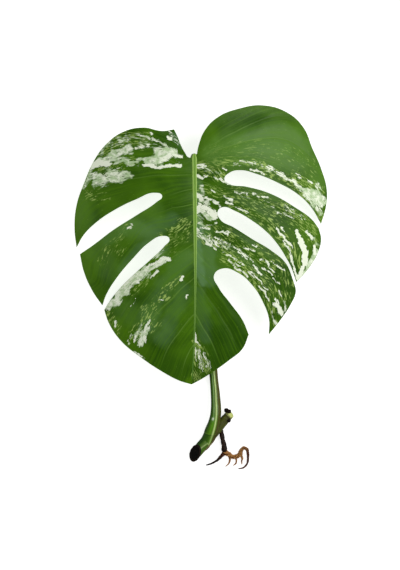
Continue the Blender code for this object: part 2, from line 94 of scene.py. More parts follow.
# The blade's edge, clockwise from the notch. Each stretch is smooth and ends in a corner.
EDGE = (
    # right lobe
    ((3.5, 1), (5.5, 11), (12, 26), (25, 38.5), (44.5, 46.5), (68, 50.5), (92.5, 44.5), (109, 30),
     (117.5, 10.5), (126.5, -9.5), (132.5, -31), (131.5, -47.5), (126.5, -64.5)),
    # first slot on the right
    ((126.5, -64.5), (116.5, -48.5), (103, -36), (81.5, -24.5), (62, -17), (46.5, -13.5),
     (35.5, -16), (30.5, -22.5), (35.5, -27), (52, -29.5), (75.5, -36), (101, -49.5),
     (116.5, -60), (124, -69)),
    # second finger on the right
    ((124, -69), (126.5, -79.5), (123.5, -92.5), (116.5, -105), (108, -115.5), (101.5, -122)),
    # second slot on the right
    ((101.5, -122), (97, -109), (90.5, -97), (82.5, -85), (72, -73.5), (56, -61.5), (40.5, -53),
     (29, -49.5), (24, -53.5), (26.5, -61.5), (39.5, -69), (58, -80.5), (76.5, -91.5),
     (91, -104), (98.5, -121)),
    # third finger on the right
    ((98.5, -121), (101, -131.5), (96, -144), (86.5, -158.5), (74.5, -173.5)),
    # third slot on the right
    ((74.5, -173.5), (74.5, -158.5), (69, -143), (58, -125.5), (43.5, -113), (29, -109),
     (20.5, -115.5), (25, -127.5), (36.5, -143), (48.5, -159.5), (54.5, -173.5)),
    # right of the tip
    ((54.5, -173.5), (48.5, -187.5), (34.5, -199.5), (20, -210), (8.5, -217.5), (-1.5, -223)),
    # left of the tip
    ((-1.5, -223), (-14, -219), (-31.5, -209.5), (-51.5, -196), (-71, -180), (-83, -162.5),
     (-87.5, -149.5)),
    # second slot on the left
    ((-87.5, -149.5), (-84.5, -144.5), (-72, -128.5), (-57, -114), (-41.5, -100.5), (-28, -87.5),
     (-23, -80), (-30, -77.5), (-42.5, -83.5), (-59, -99.5), (-74.5, -117.5), (-85.5, -134.5),
     (-89.5, -145)),
    # second finger on the left
    ((-89.5, -145), (-99, -131.5), (-108, -112), (-112, -94.5)),
    # first slot on the left
    ((-112, -94.5), (-98, -85.5), (-78.5, -71.5), (-54, -56.5), (-35.5, -44.5), (-30, -38.5),
     (-37.5, -35.5), (-55, -41.5), (-76.5, -51.5), (-96, -64), (-109, -76.5), (-115.5, -87.5)),
    # left lobe
    ((-115.5, -87.5), (-117.5, -70), (-115.5, -46.5), (-107.5, -24), (-98, -3.5), (-86.5, 12),
     (-69, 24.5), (-48.5, 28.5), (-30, 25), (-18.5, 27)),
    # left side of the notch
    ((-18.5, 27), (-15, 19.5), (-11.5, 10.5), (-8, 4), (-4, -1), (3.5, 1)),
)

CREASE_ANGLE = math.radians(29)
CREASE_SLOPE = 0.30
CURL_FROM = np.array((-4.0, -1.0)) * MM
CURL_TO = np.array((-18.5, 27.0)) * MM
CURL_DROP = 0.008
CURL_REACH = 0.009

# Lines that the side veins follow over each half. A whole number is a main side vein.
VEINS_RIGHT = (
    (0, ((3, 3), (8, 12), (16, 24), (28, 34))),
    (1, ((3, 1.5), (22, 13.2), (40, 23.5), (56, 31.7), (75, 39), (92, 41))),
    (2, ((3, 0), (25, 7), (50, 14.5), (80, 19), (100, 14), (115, 2))),
    (3, ((3, -3.5), (25, -1), (46.4, -0.5), (72, -4), (95.2, -13.2), (115, -28), (126.5, -42.5))),
    (3.6, ((25, -9), (46.5, -11), (62, -14.5), (81.5, -21.5), (103, -32.5), (117, -45), (127, -60))),
    (4.2, ((25, -24), (35.5, -28.5), (52, -32), (75.5, -38.5), (101, -52), (116, -62))),
    (5, ((2, -26), (20, -29.5), (40, -35.5), (60, -42.5), (80, -51), (100, -63), (118, -80))),
    (5.8, ((20, -46), (29, -48), (40.5, -50.5), (56, -58.5), (72, -70.5), (82.5, -82), (97, -106))),
    (6.4, ((18, -60), (26.5, -64), (39.5, -72), (58, -83.5), (76.5, -95), (91, -107))),
    (7, ((2, -58), (18, -70), (36.6, -85), (55, -98), (70, -114), (84, -136), (88, -158))),
    (7.8, ((10, -92), (22, -103), (29, -106), (43.5, -110), (58, -122), (69, -140), (73, -172))),
    (8.4, ((8, -112), (20, -122), (25, -131), (36.5, -147), (48, -162), (53, -173))),
    (9, ((1, -118), (12, -133), (24, -150), (36, -170), (44, -188))),
    (10, ((0.5, -150), (10, -167), (20, -185), (27, -203))),
    (11, ((0, -180), (6, -193), (12, -207))),
    (11.5, ((-1, -200), (3, -210), (6, -217))),
)
VEINS_LEFT = (
    (0, ((-4, 2), (-9, 12), (-14, 23))),
    (1, ((-3, 1), (-12, 10), (-22, 18), (-35, 24), (-50, 27))),
    (2, ((-3, -1), (-20, 8), (-40, 14), (-60, 17), (-80, 13))),
    (3, ((-3, -6), (-25, -2), (-50, -1.5), (-75, -5), (-98, -14))),
    (4, ((-2.4, -18), (-22, -18.6), (-51, -20.5), (-80.6, -25.9), (-100, -31.5), (-112, -37.6))),
    (4.7, ((-20, -30), (-32, -34), (-40, -34.5), (-55, -38.5), (-76.5, -48.5), (-96, -61),
           (-109, -73), (-116, -84))),
    (5.3, ((-18, -42), (-32, -46), (-54, -59.5), (-78.5, -74.5), (-98, -88), (-111, -97))),
    (6, ((-2.4, -46.9), (-19.5, -49.8), (-34.2, -54.7), (-51.3, -63), (-63.5, -72.8),
         (-75.7, -86.4), (-84.5, -103.5), (-92, -125))),
    (6.7, ((-14, -70), (-24, -76), (-30, -74.5), (-44, -81), (-61, -97), (-76.5, -115), (-88, -133))),
    (7.3, ((-10, -80), (-26, -90), (-41.5, -103.5), (-57, -117), (-72, -131.5), (-84.5, -147))),
    (8, ((-1.5, -86.4), (-17, -96), (-36.6, -110.8), (-56, -132.8), (-70.8, -154.8))),
    (9, ((-1, -120), (-20, -138), (-41.5, -160), (-58, -185))),
    (10, ((-0.5, -155), (-14, -172), (-27, -192), (-33, -207))),
    (11, ((-0.5, -185), (-8, -200), (-13, -216))),
)

# Pale patches in the blade: how much of it is pale, how far it reaches to each side of its line,
# and the line.
CREAM = (
    # left lobe
    (1.00, 3.6, ((-101, -8), (-92, -5.5), (-83, -6))),
    (0.29, 5, ((-97, -18), (-88, -20), (-80, -15), (-72, -13))),
    (0.56, 1.6, ((-56, 8.5), (-50, 10), (-44, 10))),
    (0.74, 3, ((-31, -5), (-26, -2), (-22, 0))),
    (0.88, 1.5, ((-24, 0.5), (-18, 0.5), (-11, 0))),
    (0.91, 1.7, ((-47, -8.2), (-40, -9.6), (-31, -11), (-24, -9.4), (-13, -9))),
    (0.72, 0.9, ((-40, 18), (-34, 14.5), (-27, 10))),
    (0.88, 1.3, ((-41.5, 23.5), (-40, 22))),
    (0.91, 1.7, ((-24.5, 18.5), (-21.5, 17))),
    (0.77, 1, ((-21.5, 21), (-20, 19))),
    (0.40, 2, ((-23, 25), (-18.5, 19), (-15, 13))),
    (0.31, 4, ((-66, 17), (-70, 12))),
    (0.41, 1.2, ((-16, -5), (-14, -6))),
    # beside the midrib on the right
    (0.95, 0.9, ((4, -9), (13, -8.7))),
    (0.77, 0.8, ((5, -11.2), (10, -11.3))),
    (1.04, 1.1, ((2.5, -17.5), (4.5, -20), (8.5, -20.5))),
    (0.72, 0.9, ((10, -18.5), (13, -18.2))),
    (0.72, 0.8, ((28, -11), (32, -12.3))),
    (0.62, 1.2, ((46, -5), (49, -5.2), (57, -6.8))),
    (0.34, 2, ((38, -8), (50, -7), (62, -7), (68, -9))),
    (0.86, 1, ((56, -12.6), (62, -13.6), (69, -16))),
    (0.58, 1.9, ((73, -10), (80, -13.5), (87, -16.5))),
    (0.65, 1.8, ((86, -17), (93, -21), (100, -24))),
    (0.55, 1.6, ((101, -16.5), (106, -19.5))),
    (0.58, 1.3, ((113, -22), (116, -25))),
    (0.45, 2.4, ((121, -25), (124, -29))),
    (0.34, 5, ((112, -35), (120, -40), (127, -42))),
    (0.34, 1.6, ((100, -26), (108, -34), (117, -46))),
    (0.95, 1, ((28, -23.6), (35, -26.2), (46, -27))),
    (0.72, 0.7, ((20, -21), (24, -22.5), (30, -21.8))),
    # second finger on the right
    (0.82, 2.2, ((4, -37), (8, -41))),
    (0.80, 1.4, ((12, -41), (18, -42.5), (23, -45), (26, -48.5))),
    (0.85, 4, ((10, -49.5), (15, -53), (21, -57))),
    (0.82, 2, ((6, -46), (5, -54))),
    (0.81, 1, ((19, -33.5), (21, -34.5))),
    (0.90, 1, ((30, -39), (34, -41), (38, -43))),
    (0.81, 0.9, ((32, -44.5), (38, -46))),
    (0.66, 0.9, ((41, -34), (45, -35.5), (52, -36))),
    (0.63, 0.9, ((58, -36), (64, -38.5), (74, -40))),
    (0.68, 1, ((42, -48), (48, -52), (54, -55.5))),
    (0.60, 1.3, ((83, -54), (86, -55.5))),
    (0.61, 1, ((88, -55), (93, -57.5), (98, -59))),
    (0.30, 3, ((90, -50), (100, -54), (108, -60))),
    (1.05, 0.9, ((81.5, -70), (86, -75), (90.5, -81))),
    (0.95, 0.8, ((86, -68.5), (89, -72.5))),
    (1.05, 1.1, ((91, -81), (94, -85), (97, -89))),
    (0.80, 0.9, ((88, -82), (93, -90), (96, -97))),
    (1.20, 1.0, ((95.5, -97), (98.5, -107), (102, -120))),
    (1.25, 1.5, ((101.3, -72.5), (105, -79))),
    (1.25, 2.7, ((106, -81.5), (109, -88.5))),
    (1.25, 3.7, ((110, -92), (110, -103))),
    (1.20, 2.5, ((108, -108.5), (103.5, -118))),
    (1.00, 1.3, ((110.5, -71.5), (114, -76), (117, -80))),
    (1.15, 1.3, ((119.3, -86), (120.2, -95))),
    # third finger on the right
    (0.80, 1.36, ((3, -68), (5.5, -72.5))),
    (0.72, 0.72, ((7, -68.5), (16, -71))),
    (0.95, 0.96, ((24, -72.6), (28, -73.8), (33, -75.2))),
    (0.72, 0.72, ((32, -72.5), (36, -74.5))),
    (0.86, 0.96, ((13, -82), (18, -87), (23, -91))),
    (0.45, 3, ((6, -76), (16, -83), (30, -88))),
    (0.71, 1.2, ((44, -93.5), (48, -96), (52, -100))),
    (0.77, 0.72, ((48, -88.5), (54, -90), (60, -92.5))),
    (0.63, 0.88, ((58, -86), (62, -88))),
    (0.90, 0.88, ((34, -100.5), (37.5, -103), (40, -106))),
    (0.86, 0.8, ((41, -102.5), (45, -105.5))),
    (0.80, 1.2, ((41, -108), (46.5, -111))),
    (0.86, 0.88, ((49.5, -112), (53.5, -117))),
    (0.88, 1.12, ((58.5, -105), (62, -110), (67, -115))),
    (0.90, 0.88, ((73, -111), (77, -114.5))),
    (0.63, 0.72, ((68, -108.5), (72, -111))),
    (0.90, 0.72, ((64.5, -126), (69, -132), (74, -140))),
    (0.77, 0.64, ((54, -112), (60, -119))),
    (0.72, 0.72, ((76, -102), (84, -106.5), (90, -111.5))),
    (0.80, 1.04, ((84, -132), (86.5, -135.5))),
    (0.81, 0.8, ((81, -139), (83, -142))),
    (0.88, 2.2, ((80.5, -143), (83.5, -147.5))),
    (0.88, 2.9, ((84, -147.5), (87.5, -153))),
    (0.80, 0.7, ((14, -77), (26, -81), (36, -86))),
    (0.75, 0.7, ((40, -88), (50, -95), (58, -102))),
    (0.75, 0.6, ((30, -93), (40, -99), (50, -106))),
    (0.80, 0.7, ((66, -100), (74, -106), (80, -112))),
    (0.75, 0.6, ((56, -112), (64, -120), (72, -130))),
    (0.70, 0.7, ((78, -118), (86, -126))),
    # right of the tip
    (0.83, 1.1, ((1.2, -172), (2.6, -178), (5.8, -184))),
    (0.32, 2, ((15, -200), (17, -207))),
    (0.48, 2.4, ((5, -190), (8, -200), (10, -208))),
    (0.62, 0.6, ((2, -186), (3, -200))),
    (0.46, 1.4, ((11, -192), (14, -204))),
    # left fingers
    (0.95, 1, ((-63.5, -69), (-60.5, -68.6))),
    (0.81, 0.8, ((-60, -65.5), (-59.5, -66.5))),
    (0.85, 2.1, ((-33.5, -101.5), (-28, -99.2), (-24, -100.3))),
    (0.80, 1.3, ((-45, -108), (-39, -104.5), (-35, -103))),
    (0.86, 1.1, ((-42, -118), (-37.5, -114), (-34.5, -111))),
    (1.00, 1.2, ((-54.2, -122), (-53.4, -122))),
    (0.37, 4.5, ((-84, -146), (-72, -134), (-58, -120), (-46, -111))),
    (0.81, 1.2, ((-12.5, -121), (-9, -116))),
    (0.95, 0.9, ((-7, -137), (-5.2, -134.5))),
    (0.81, 0.7, ((-6.3, -139), (-5.6, -138.6))),
    (0.68, 1, ((-34, -139), (-30, -139.5))),
    (0.52, 3.2, ((-51, -183), (-48, -174), (-44, -166))),
    (0.86, 1, ((-47, -168), (-44, -163), (-42, -159.5))),
    (0.86, 1, ((-58, -180), (-56, -175))),
    (0.63, 0.8, ((-61, -146), (-56.5, -138.5))),
    (0.72, 1, ((-77.5, -166), (-75.5, -161))),
    (0.72, 0.9, ((-58, -190), (-52, -194), (-47, -197.5))),
    (0.40, 1.6, ((-64, -182), (-61, -173))),
)
MINT = (
    # left lobe
    (0.62, 4.2, ((-102, -12), (-104, -19), (-108, -28))),
    (0.66, 4.5, ((-97, -19), (-90, -21), (-84, -22))),
    (0.73, 5.5, ((-79, -20), (-71, -19), (-64, -17.5))),
    (0.49, 5, ((-95, -25), (-86, -25))),
    (0.53, 4, ((-84, -13), (-76, -13))),
    (0.73, 4.5, ((-90, -3), (-80, 0), (-72, 4))),
    (0.73, 5.0, ((-76, 3), (-68, 6.5), (-62, 8))),
    (0.66, 4.0, ((-78, -3), (-68, -2), (-60, -5))),
    (0.40, 4.0, ((-66, -6), (-58, -9), (-54, -4))),
    (0.93, 4.5, ((-44, -5), (-37, -3), (-28, 0))),
    (0.89, 4.5, ((-34, 3), (-26, 5), (-19, 4))),
    (0.56, 2.5, ((-54, -4), (-48, -3))),
    (0.59, 1.2, ((-56, 23.5), (-48, 21.5), (-40, 18), (-30, 12), (-20, 7))),
    (0.40, 5, ((-84, 11), (-76, 16), (-66, 20))),
    (0.34, 6, ((-68, 15), (-58, 19), (-46, 16))),
    (0.33, 5, ((-56, 14), (-46, 13), (-40, 10))),
    (0.49, 2.5, ((-93, 3), (-87, 10), (-80, 16))),
    # right lobe
    (0.84, 6.0, ((114, -36), (121, -39), (126, -42))),
    (0.60, 3.5, ((120, -46), (124, -54))),
    (0.73, 2.6, ((100, -26), (107, -30), (113, -35))),
    (0.54, 2.4, ((122, -26), (125, -32))),
    (0.34, 3.0, ((72, -13), (82, -17), (94, -23))),
    (0.37, 3.0, ((8, -12), (20, -15), (28, -17))),
    # second finger on the right
    (0.89, 3.0, ((5, -50), (12, -56), (20, -59.5))),
    (0.49, 2.4, ((8, -44), (16, -47))),
    (0.46, 3.2, ((8, -30), (7, -38), (9, -46))),
    (0.42, 3.0, ((7, -60), (10, -66), (8, -74))),
    (0.30, 3.2, ((40, -36), (56, -39), (70, -45), (84, -53))),
    (0.93, 2.6, ((121, -90), (119, -100), (113, -110), (105, -118))),
    (0.49, 2.4, ((118, -80), (123, -84))),
    # third finger on the right
    (0.56, 1.0, ((3, -65), (12, -67), (24, -66))),
    (0.37, 4.0, ((10, -78), (26, -84), (42, -92))),
    (0.56, 1.4, ((88, -140), (89.5, -150))),
    (0.49, 1.6, ((78, -150), (79, -163))),
    # right of the tip
    (0.30, 3.4, ((14, -198), (16, -206))),
    (0.20, 5.0, ((5, -190), (8, -204))),
    # left fingers
    (0.96, 5.0, ((-83, -147), (-75, -138), (-67, -130))),
    (0.96, 4.0, ((-67, -128), (-57, -119), (-47, -111))),
    (0.89, 2.4, ((-47, -111), (-38, -107), (-29, -102.5))),
    (0.49, 2.4, ((-46, -101), (-36, -96), (-28, -92))),
    (0.44, 3.0, ((-50, -120), (-42, -115))),
    (0.81, 3.0, ((-52, -182), (-49, -174), (-45, -168))),
    (0.44, 3.0, ((-56, -178), (-52, -166))),
)
FLECKS = (
    # left
    (0.35, 9, ((-86, 10), (-66, 19), (-48, 16))),
    (0.28, 6, ((-60, -4), (-90, -14))),
    (0.19, 7, ((-104, -36), (-88, -38))),
    (0.40, 6, ((-27, -77), (-18, -72), (-8, -65))),
    (0.26, 6, ((-26, -85), (-16, -81), (-7, -77))),
    (0.14, 5, ((-40, -99), (-26, -93), (-16, -93))),
    (0.19, 6, ((-90, -100), (-76, -84), (-66, -70))),
    (0.31, 4, ((-72, -92), (-69, -90))),
    (0.35, 4, ((-30, -133), (-20, -126), (-12, -118))),
    (0.28, 6, ((-48, -152), (-36, -142), (-26, -132))),
    (0.31, 6, ((-56, -176), (-50, -160), (-42, -146))),
    (0.31, 5, ((-46, -170), (-36, -162))),
    (0.35, 5, ((-84, -150), (-80, -160), (-74, -168))),
    (0.26, 4, ((-60, -133), (-48, -124), (-38, -117))),
    (0.28, 3, ((-62, -182), (-60, -170))),
    # right lobe and the first finger
    (0.43, 4, ((22, -5.5), (46, -6), (64, -8), (76, -14))),
    (0.38, 7, ((6, -9), (16, -14), (28, -18))),
    (0.40, 5, ((72, -13), (88, -20), (102, -30), (112, -40))),
    (0.41, 7, ((100, -20), (114, -27), (124, -32))),
    (0.37, 6, ((112, -42), (122, -52), (125, -60))),
    (0.14, 12, ((20, 4), (60, 8), (96, 2), (116, -10))),
    # second finger on the right
    (0.30, 6, ((6, -32), (28, -37), (46, -44))),
    (0.24, 6, ((40, -34), (60, -39), (76, -46))),
    (0.26, 5, ((36, -46), (48, -51), (62, -58))),
    (0.22, 9, ((62, -46), (84, -56), (104, -64))),
    (0.37, 6, ((86, -48), (104, -58), (118, -70))),
    (0.35, 7, ((70, -63), (84, -74), (94, -90))),
    (0.32, 6, ((104, -64), (116, -76), (122, -84))),
    (0.37, 3, ((100, -84), (103, -96), (104, -106))),
    # third finger on the right
    (0.32, 4, ((3, -62), (14, -68), (26, -72))),
    (0.38, 5, ((8, -77), (24, -86), (40, -96))),
    (0.39, 7, ((34, -98), (50, -110), (64, -126))),
    (0.30, 8, ((30, -74), (50, -88), (66, -98))),
    (0.26, 9, ((60, -92), (80, -106), (94, -120))),
    (0.33, 6, ((70, -118), (82, -134), (92, -138))),
    (0.30, 5, ((70, -134), (77, -150), (80, -162))),
    # right of the tip
    (0.45, 6, ((3, -184), (9, -196), (13, -207))),
    (0.43, 5, ((1, -190), (2, -204), (3, -215))),
)
# Where the green is younger and yellower.
YELLOW = (
    (0.45, 12, ((-112, -44), (-113, -66), (-114, -82))),
    (0.30, 12, ((-110, -96), (-104, -118), (-94, -136))),
    (0.45, 12, ((-78, -170), (-52, -190))),
    (0.60, 5, ((-3, -221), (2, -217))),
    (0.35, 8, ((-104, -14), (-108, -28))),
    (0.35, 10, ((8, 8), (16, 20))),
    (0.30, 8, ((40, 48), (66, 51), (88, 44))),
    (0.30, 12, ((-80, -36), (-50, -32))),
)
# Where the green is deeper.
DEEP = (
    (0.9, 14, ((-6, 8), (-14, 14), (-24, 20))),
    (0.4, 12, ((-40, -22), (-60, -27), (-80, -32))),
    (0.9, 12, ((44, 40), (62, 45), (80, 40))),
    (0.7, 10, ((30, 24), (44, 34), (60, 38))),
    (0.8, 16, ((36, -150), (50, -170), (46, -186))),
    (0.8, 16, ((46, -186), (30, -198), (10, -214))),
    (0.9, 16, ((-60, -186), (-36, -200), (-10, -214))),
    (0.6, 12, ((-10, -40), (-14, -60))),
    (0.8, 14, ((36, -36), (60, -44), (86, -56))),
    (0.7, 14, ((66, -60), (84, -70))),
    (0.7, 12, ((30, -76), (50, -84), (70, -96))),
    (0.8, 14, ((60, -116), (76, -136), (86, -142))),
    (0.5, 10, ((100, -36), (112, -50))),
    (0.5, 12, ((4, -6), (30, -10), (60, -10))),
)
# Painted sheen: where a paler, bluish green stands in for the soft reflections on the wax.
PAINTED_SHEEN = (
    (0.80, 14, ((30, 8), (50, 14), (70, 18))),
    (0.95, 12, ((44, 10), (66, 12), (88, 8))),
    (0.70, 11, ((80, 24), (96, 20), (108, 10))),
    (0.75, 12, ((20, 2), (46, 0), (78, 0), (104, -4))),
    (0.50, 8, ((112, 2), (120, -12), (126, -26))),
    (0.30, 12, ((-112, -44), (-104, -62))),
    (0.50, 12, ((-62, -66), (-50, -74), (-38, -82))),
    (0.40, 12, ((-98, -86), (-88, -100), (-80, -112))),
    (0.35, 10, ((-70, -62), (-56, -60), (-40, -52))),
    (0.40, 12, ((-66, -150), (-50, -158), (-34, -168))),
    (0.35, 12, ((16, -94), (24, -104))),
)
# Painted bluish sheen: where a bluish green stands in for reflections on the wax, most of all beside the
# midrib.
PAINTED_BLUE_SHEEN = (
    (0.95, 4.5, ((4, -62), (5.5, -84), (6.5, -104), (8.5, -122))),
    (0.40, 8, ((9, -76), (14, -98), (16, -120))),
    (0.50, 3.5, ((4, -26), (4, -44), (4.5, -62))),
    (0.35, 7, ((-30, -92), (-44, -88), (-58, -98), (-66, -110))),
    (0.30, 8, ((-22, -62), (-42, -72), (-62, -66), (-84, -78))),
    (0.28, 9, ((-8, -100), (-22, -118), (-38, -146), (-44, -160))),
    (0.24, 8, ((-10, -130), (-20, -156), (-28, -176))),
    (0.26, 7, ((5, -134), (9, -158), (12, -176))),
    (0.35, 5, ((-9, 12), (-16, 20))),
)


# ---------------------------------------------------------------- where things are

def joint_place():
    """The blade's base in the frame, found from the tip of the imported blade."""
    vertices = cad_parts["leaf_blade"].data.vertices
    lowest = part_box("leaf_blade")[0].y
    tip = [v.co for v in vertices if v.co.y < lowest + 0.01 * MM]
    top = max(v.z for v in tip)
    drawn = Vector((midrib_x(-BLADE_REACH), -BLADE_REACH, ridge_height(-BLADE_REACH)))
    x = sum(v.x for v in tip) / len(tip)
    return Vector((x, lowest, top - BLADE_THICKNESS / 2)) - drawn


def ridge_height(y):
    """Height of the midrib line above the surface."""
    along = -y / BLADE_REACH
    fall = (2 * PETIOLE_RADIUS + TIP_CLEARANCE - BLADE_JOINT_HEIGHT) * along * along
    return BLADE_JOINT_HEIGHT + fall + BLADE_CROWN * 4 * along * (1 - along)


def midrib_x(y):
    """How far right of the blade's base the midrib runs."""
    along = -y / BLADE_REACH
    return MIDRIB_START + MIDRIB_BOW * along - MIDRIB_BEND * along**4


def lobe_shaping(x, y):
    """The lifted crease of the right lobe and the curled edge of the left one."""
    above = y * math.cos(CREASE_ANGLE) - x * math.sin(CREASE_ANGLE)
    lifted = np.where((x > 0) & (y > 0), CREASE_SLOPE * np.maximum(above, 0), 0)
    line = CURL_TO - CURL_FROM
    dx, dy = x - CURL_FROM[0], y - CURL_FROM[1]
    share = np.clip((dx * line[0] + dy * line[1]) / (line @ line), 0, 1)
    away = np.hypot(dx - share * line[0], dy - share * line[1])
    curled = -CURL_DROP * share * np.exp(-((away / CURL_REACH) ** 2))
    return lifted + np.where(x < 0, curled, 0)


def side_droop(side):
    """How much one half bends down, so that its margin just rests on the surface."""
    x, y = np.array([p for stretch in EDGE for p in stretch]).T * MM
    across = np.abs(x - midrib_x(y)) / (BLADE_WIDTH / 2)
    above = ridge_height(y) + BLADE_SHOULDER * across - BLADE_THICKNESS / 2
    return np.min((above / across**2)[x * side > BLADE_WIDTH / 5])


DROOP_LEFT, DROOP_RIGHT = side_droop(-1), side_droop(1)


def blade_height(x, y):
    """Height of the blade's middle surface, for arrays of places about its base."""
    across = (x - midrib_x(y)) / (BLADE_WIDTH / 2)
    droop = np.where(across > 0, DROOP_RIGHT, DROOP_LEFT) * across**2
    return ridge_height(y) + BLADE_SHOULDER * np.abs(across) - droop + lobe_shaping(x, y)


BASE = joint_place()
TIP_TO_NODE = 0.0543
NODE_OFFSET = 0.0145
NODE = BASE + Vector((NODE_OFFSET, -(BLADE_REACH + TIP_TO_NODE), 0))
STEM_HEADING = Vector((0.665, 0.747, 0)).normalized()
OLD_CUT_POINT = NODE - 16.9 * MM * STEM_HEADING + Vector((0, 0, STEM_RADIUS + 6.1 * MM))
OLD_CUT_NORMAL = Vector((-0.52, -0.03, 0.85)).normalized()
YOUNG_CUT_POINT = NODE + 33.0 * MM * STEM_HEADING + Vector((0, 0, STEM_END_RADIUS))
YOUNG_CUT_NORMAL = Vector((0.62, 0.66, 0.42)).normalized()
# The lowest that any wrapped piece comes to the table it lies on.
TABLE_GAP = 0.02 * MM


# ---------------------------------------------------------------- shared modelling

def select_only(*pieces):
    """Deselects everything, then selects these pieces and makes the first one active."""
    if bpy.context.object and bpy.context.object.mode != "OBJECT":
        bpy.ops.object.mode_set(mode="OBJECT")
    bpy.ops.object.select_all(action="DESELECT")
    for piece in pieces:
        piece.select_set(True)
    bpy.context.view_layer.objects.active = pieces[0]


def smooth_run(places, values, at):
    """Values at `at` on a smooth run through `values` at `places`."""
    slopes = np.gradient(values, places, axis=0)
    near = np.clip(np.searchsorted(places, at) - 1, 0, len(places) - 2)
    step = (places[near + 1] - places[near])[:, None]
    s = ((at - places[near])[:, None]) / step
    start, end = values[near], values[near + 1]
    leave, arrive = slopes[near] * step, slopes[near + 1] * step
    return (
        (2 * s**3 - 3 * s**2 + 1) * start
        + (s**3 - 2 * s**2 + s) * leave
        + (3 * s**2 - 2 * s**3) * end
        + (s**3 - s**2) * arrive
    )


def unit(rows):
    """Each row made one long."""
    return rows / np.maximum(np.linalg.norm(rows, axis=-1, keepdims=True), 1e-12)


class Run:
    """A smooth line through (place, radius) knots, with its headings and the sides of each place."""

    def __init__(self, knots, count):
        places = np.array([tuple(place) for place, _ in knots])
        radii = np.array([[radius] for _, radius in knots])
        steps = np.linalg.norm(np.diff(places, axis=0), axis=1)
        along = np.concatenate(([0.0], np.cumsum(steps)))
        self.along = np.linspace(0, along[-1], count)
        self.share = self.along / along[-1]
        self.places = smooth_run(along, places, self.along)
        self.radii = smooth_run(along, radii, self.along)[:, 0]
        self.headings = unit(np.gradient(self.places, axis=0))
        self.rights = unit(np.cross(self.headings, (0.0, 0.0, 1.0)))
        self.ups = np.cross(self.rights, self.headings)

    def rings(self, angles, girth=1.0):
        """Rings of points. `girth` is a factor for each place and angle; angle 0 is on top."""
        reach = self.radii[:, None] * girth
        side = (reach * np.sin(angles))[..., None] * self.rights[:, None]
        rise = (reach * np.cos(angles))[..., None] * self.ups[:, None]
        return self.places[:, None] + side + rise


def ring_angles(around):
    """Angles from the underside round over the left and the top, with 0 on top."""
    return -math.pi + 2 * math.pi * np.arange(around) / around


def wobble(places, size, seed, detail=3):
    """A smooth, repeatable unevenness between about -1 and 1, with features of about `size`."""
    flat = places.reshape(-1, 3)
    found = np.zeros(len(flat))
    share = 1.0
    for octave in range(detail):
        scale = 2**octave / size
        shift = Vector((seed * 7.31 + octave * 3.7, seed * 3.17, octave * 5.3))
        found += share * np.array([noise.noise(Vector(p) * scale + shift) for p in flat])
        share *= 0.5
    return found.reshape(places.shape[:-1])


def dome(rings, heading, bulge, steps=5):
    """Rings that close the last ring over a rounded end which bulges along `heading`."""
    centre = rings[-1].mean(axis=0)
    made = []
    for step in range(1, steps + 1):
        turn = 0.5 * math.pi * step / (steps + 0.25)
        narrow = (rings[-1] - centre) * math.cos(turn)
        made.append(centre + narrow + heading * bulge * math.sin(turn))
    return np.concatenate((rings, np.array(made)))


def close_both_ends(run, rings, bulge):
    """The rings with a rounded end at the start and at the end of the run."""
    grown = dome(rings, run.headings[-1], bulge)
    return dome(grown[::-1], -run.headings[0], bulge)[::-1]


def wrap(name, rings, colours=None):
    """A closed skin over rings of points: a grid wrapped round, its seam merged and its ends filled.

    Its UV map runs round the piece and, in centimetres, along it.
    """
    rows, around = rings.shape[:2]
    bpy.ops.object.select_all(action="DESELECT")
    bpy.ops.mesh.primitive_grid_add(x_subdivisions=around, y_subdivisions=rows - 1, size=1)
    piece = bpy.context.object
    piece.name = name
    piece.data.name = name
    joined = np.concatenate((rings, rings[:, :1]), axis=1)
    joined[..., 2] = np.maximum(joined[..., 2], TABLE_GAP)
    piece.data.vertices.foreach_set("co", joined.reshape(-1).astype(np.float32))
    middle = rings.mean(axis=1)
    steps = np.linalg.norm(np.diff(middle, axis=0), axis=1)
    along = np.concatenate(([0.0], np.cumsum(steps))) * 100
    uv = piece.data.uv_layers[0].uv
    flat = np.zeros(len(uv) * 2, np.float32)
    uv.foreach_get("vector", flat)
    flat[1::2] = along[np.rint(flat[1::2] * (rows - 1)).astype(int)]
    uv.foreach_set("vector", flat)
    if colours is not None:
        full = np.ones((rows, around + 1, 4), np.float32)
        full[:, :around, :3] = colours
        full[:, around, :3] = colours[:, 0]
        tint = piece.data.attributes.new("tint", "FLOAT_COLOR", "POINT")
        tint.data.foreach_set("color", full.reshape(-1))
    bpy.ops.object.mode_set(mode="EDIT")
    bpy.ops.mesh.select_all(action="SELECT")
    bpy.ops.mesh.remove_doubles(threshold=0.0005 * MM)
    bpy.ops.mesh.fill_holes(sides=0)
    bpy.ops.mesh.normals_make_consistent(inside=False)
    bpy.ops.object.mode_set(mode="OBJECT")
    bpy.ops.object.shade_smooth_by_angle(angle=math.radians(55))
    return piece


def tinted(colours, other, share):
    """Colours moved towards another colour, each by its own share."""
    share = np.clip(np.asarray(share, float), 0, 1)[..., None]
    return np.asarray(colours) * (1 - share) + np.asarray(other) * share


def layered(colours, *layers):
    """Colours with each (colour, share) layer painted over them in turn."""
    for colour, share in layers:
        colours = tinted(colours, colour, share)
    return colours


def over_ends(tint, rings):
    """The rows of colours, with the first and the last repeated over a piece's rounded ends."""
    extra = (len(rings) - len(tint)) // 2
    first, last = (np.repeat(row, extra, axis=0) for row in (tint[:1], tint[-1:]))
    return np.concatenate((first, tint, last))


def hump(values, centre, width):
    """1 at the centre, falling smoothly to 0 over about the width."""
    return np.exp(-(((values - centre) / width) ** 2))


def step_up(values, start, end):
    """0 before the start, 1 after the end, and smooth between them."""
    s = np.clip((values - start) / (end - start), 0, 1)
    return s * s * (3 - 2 * s)


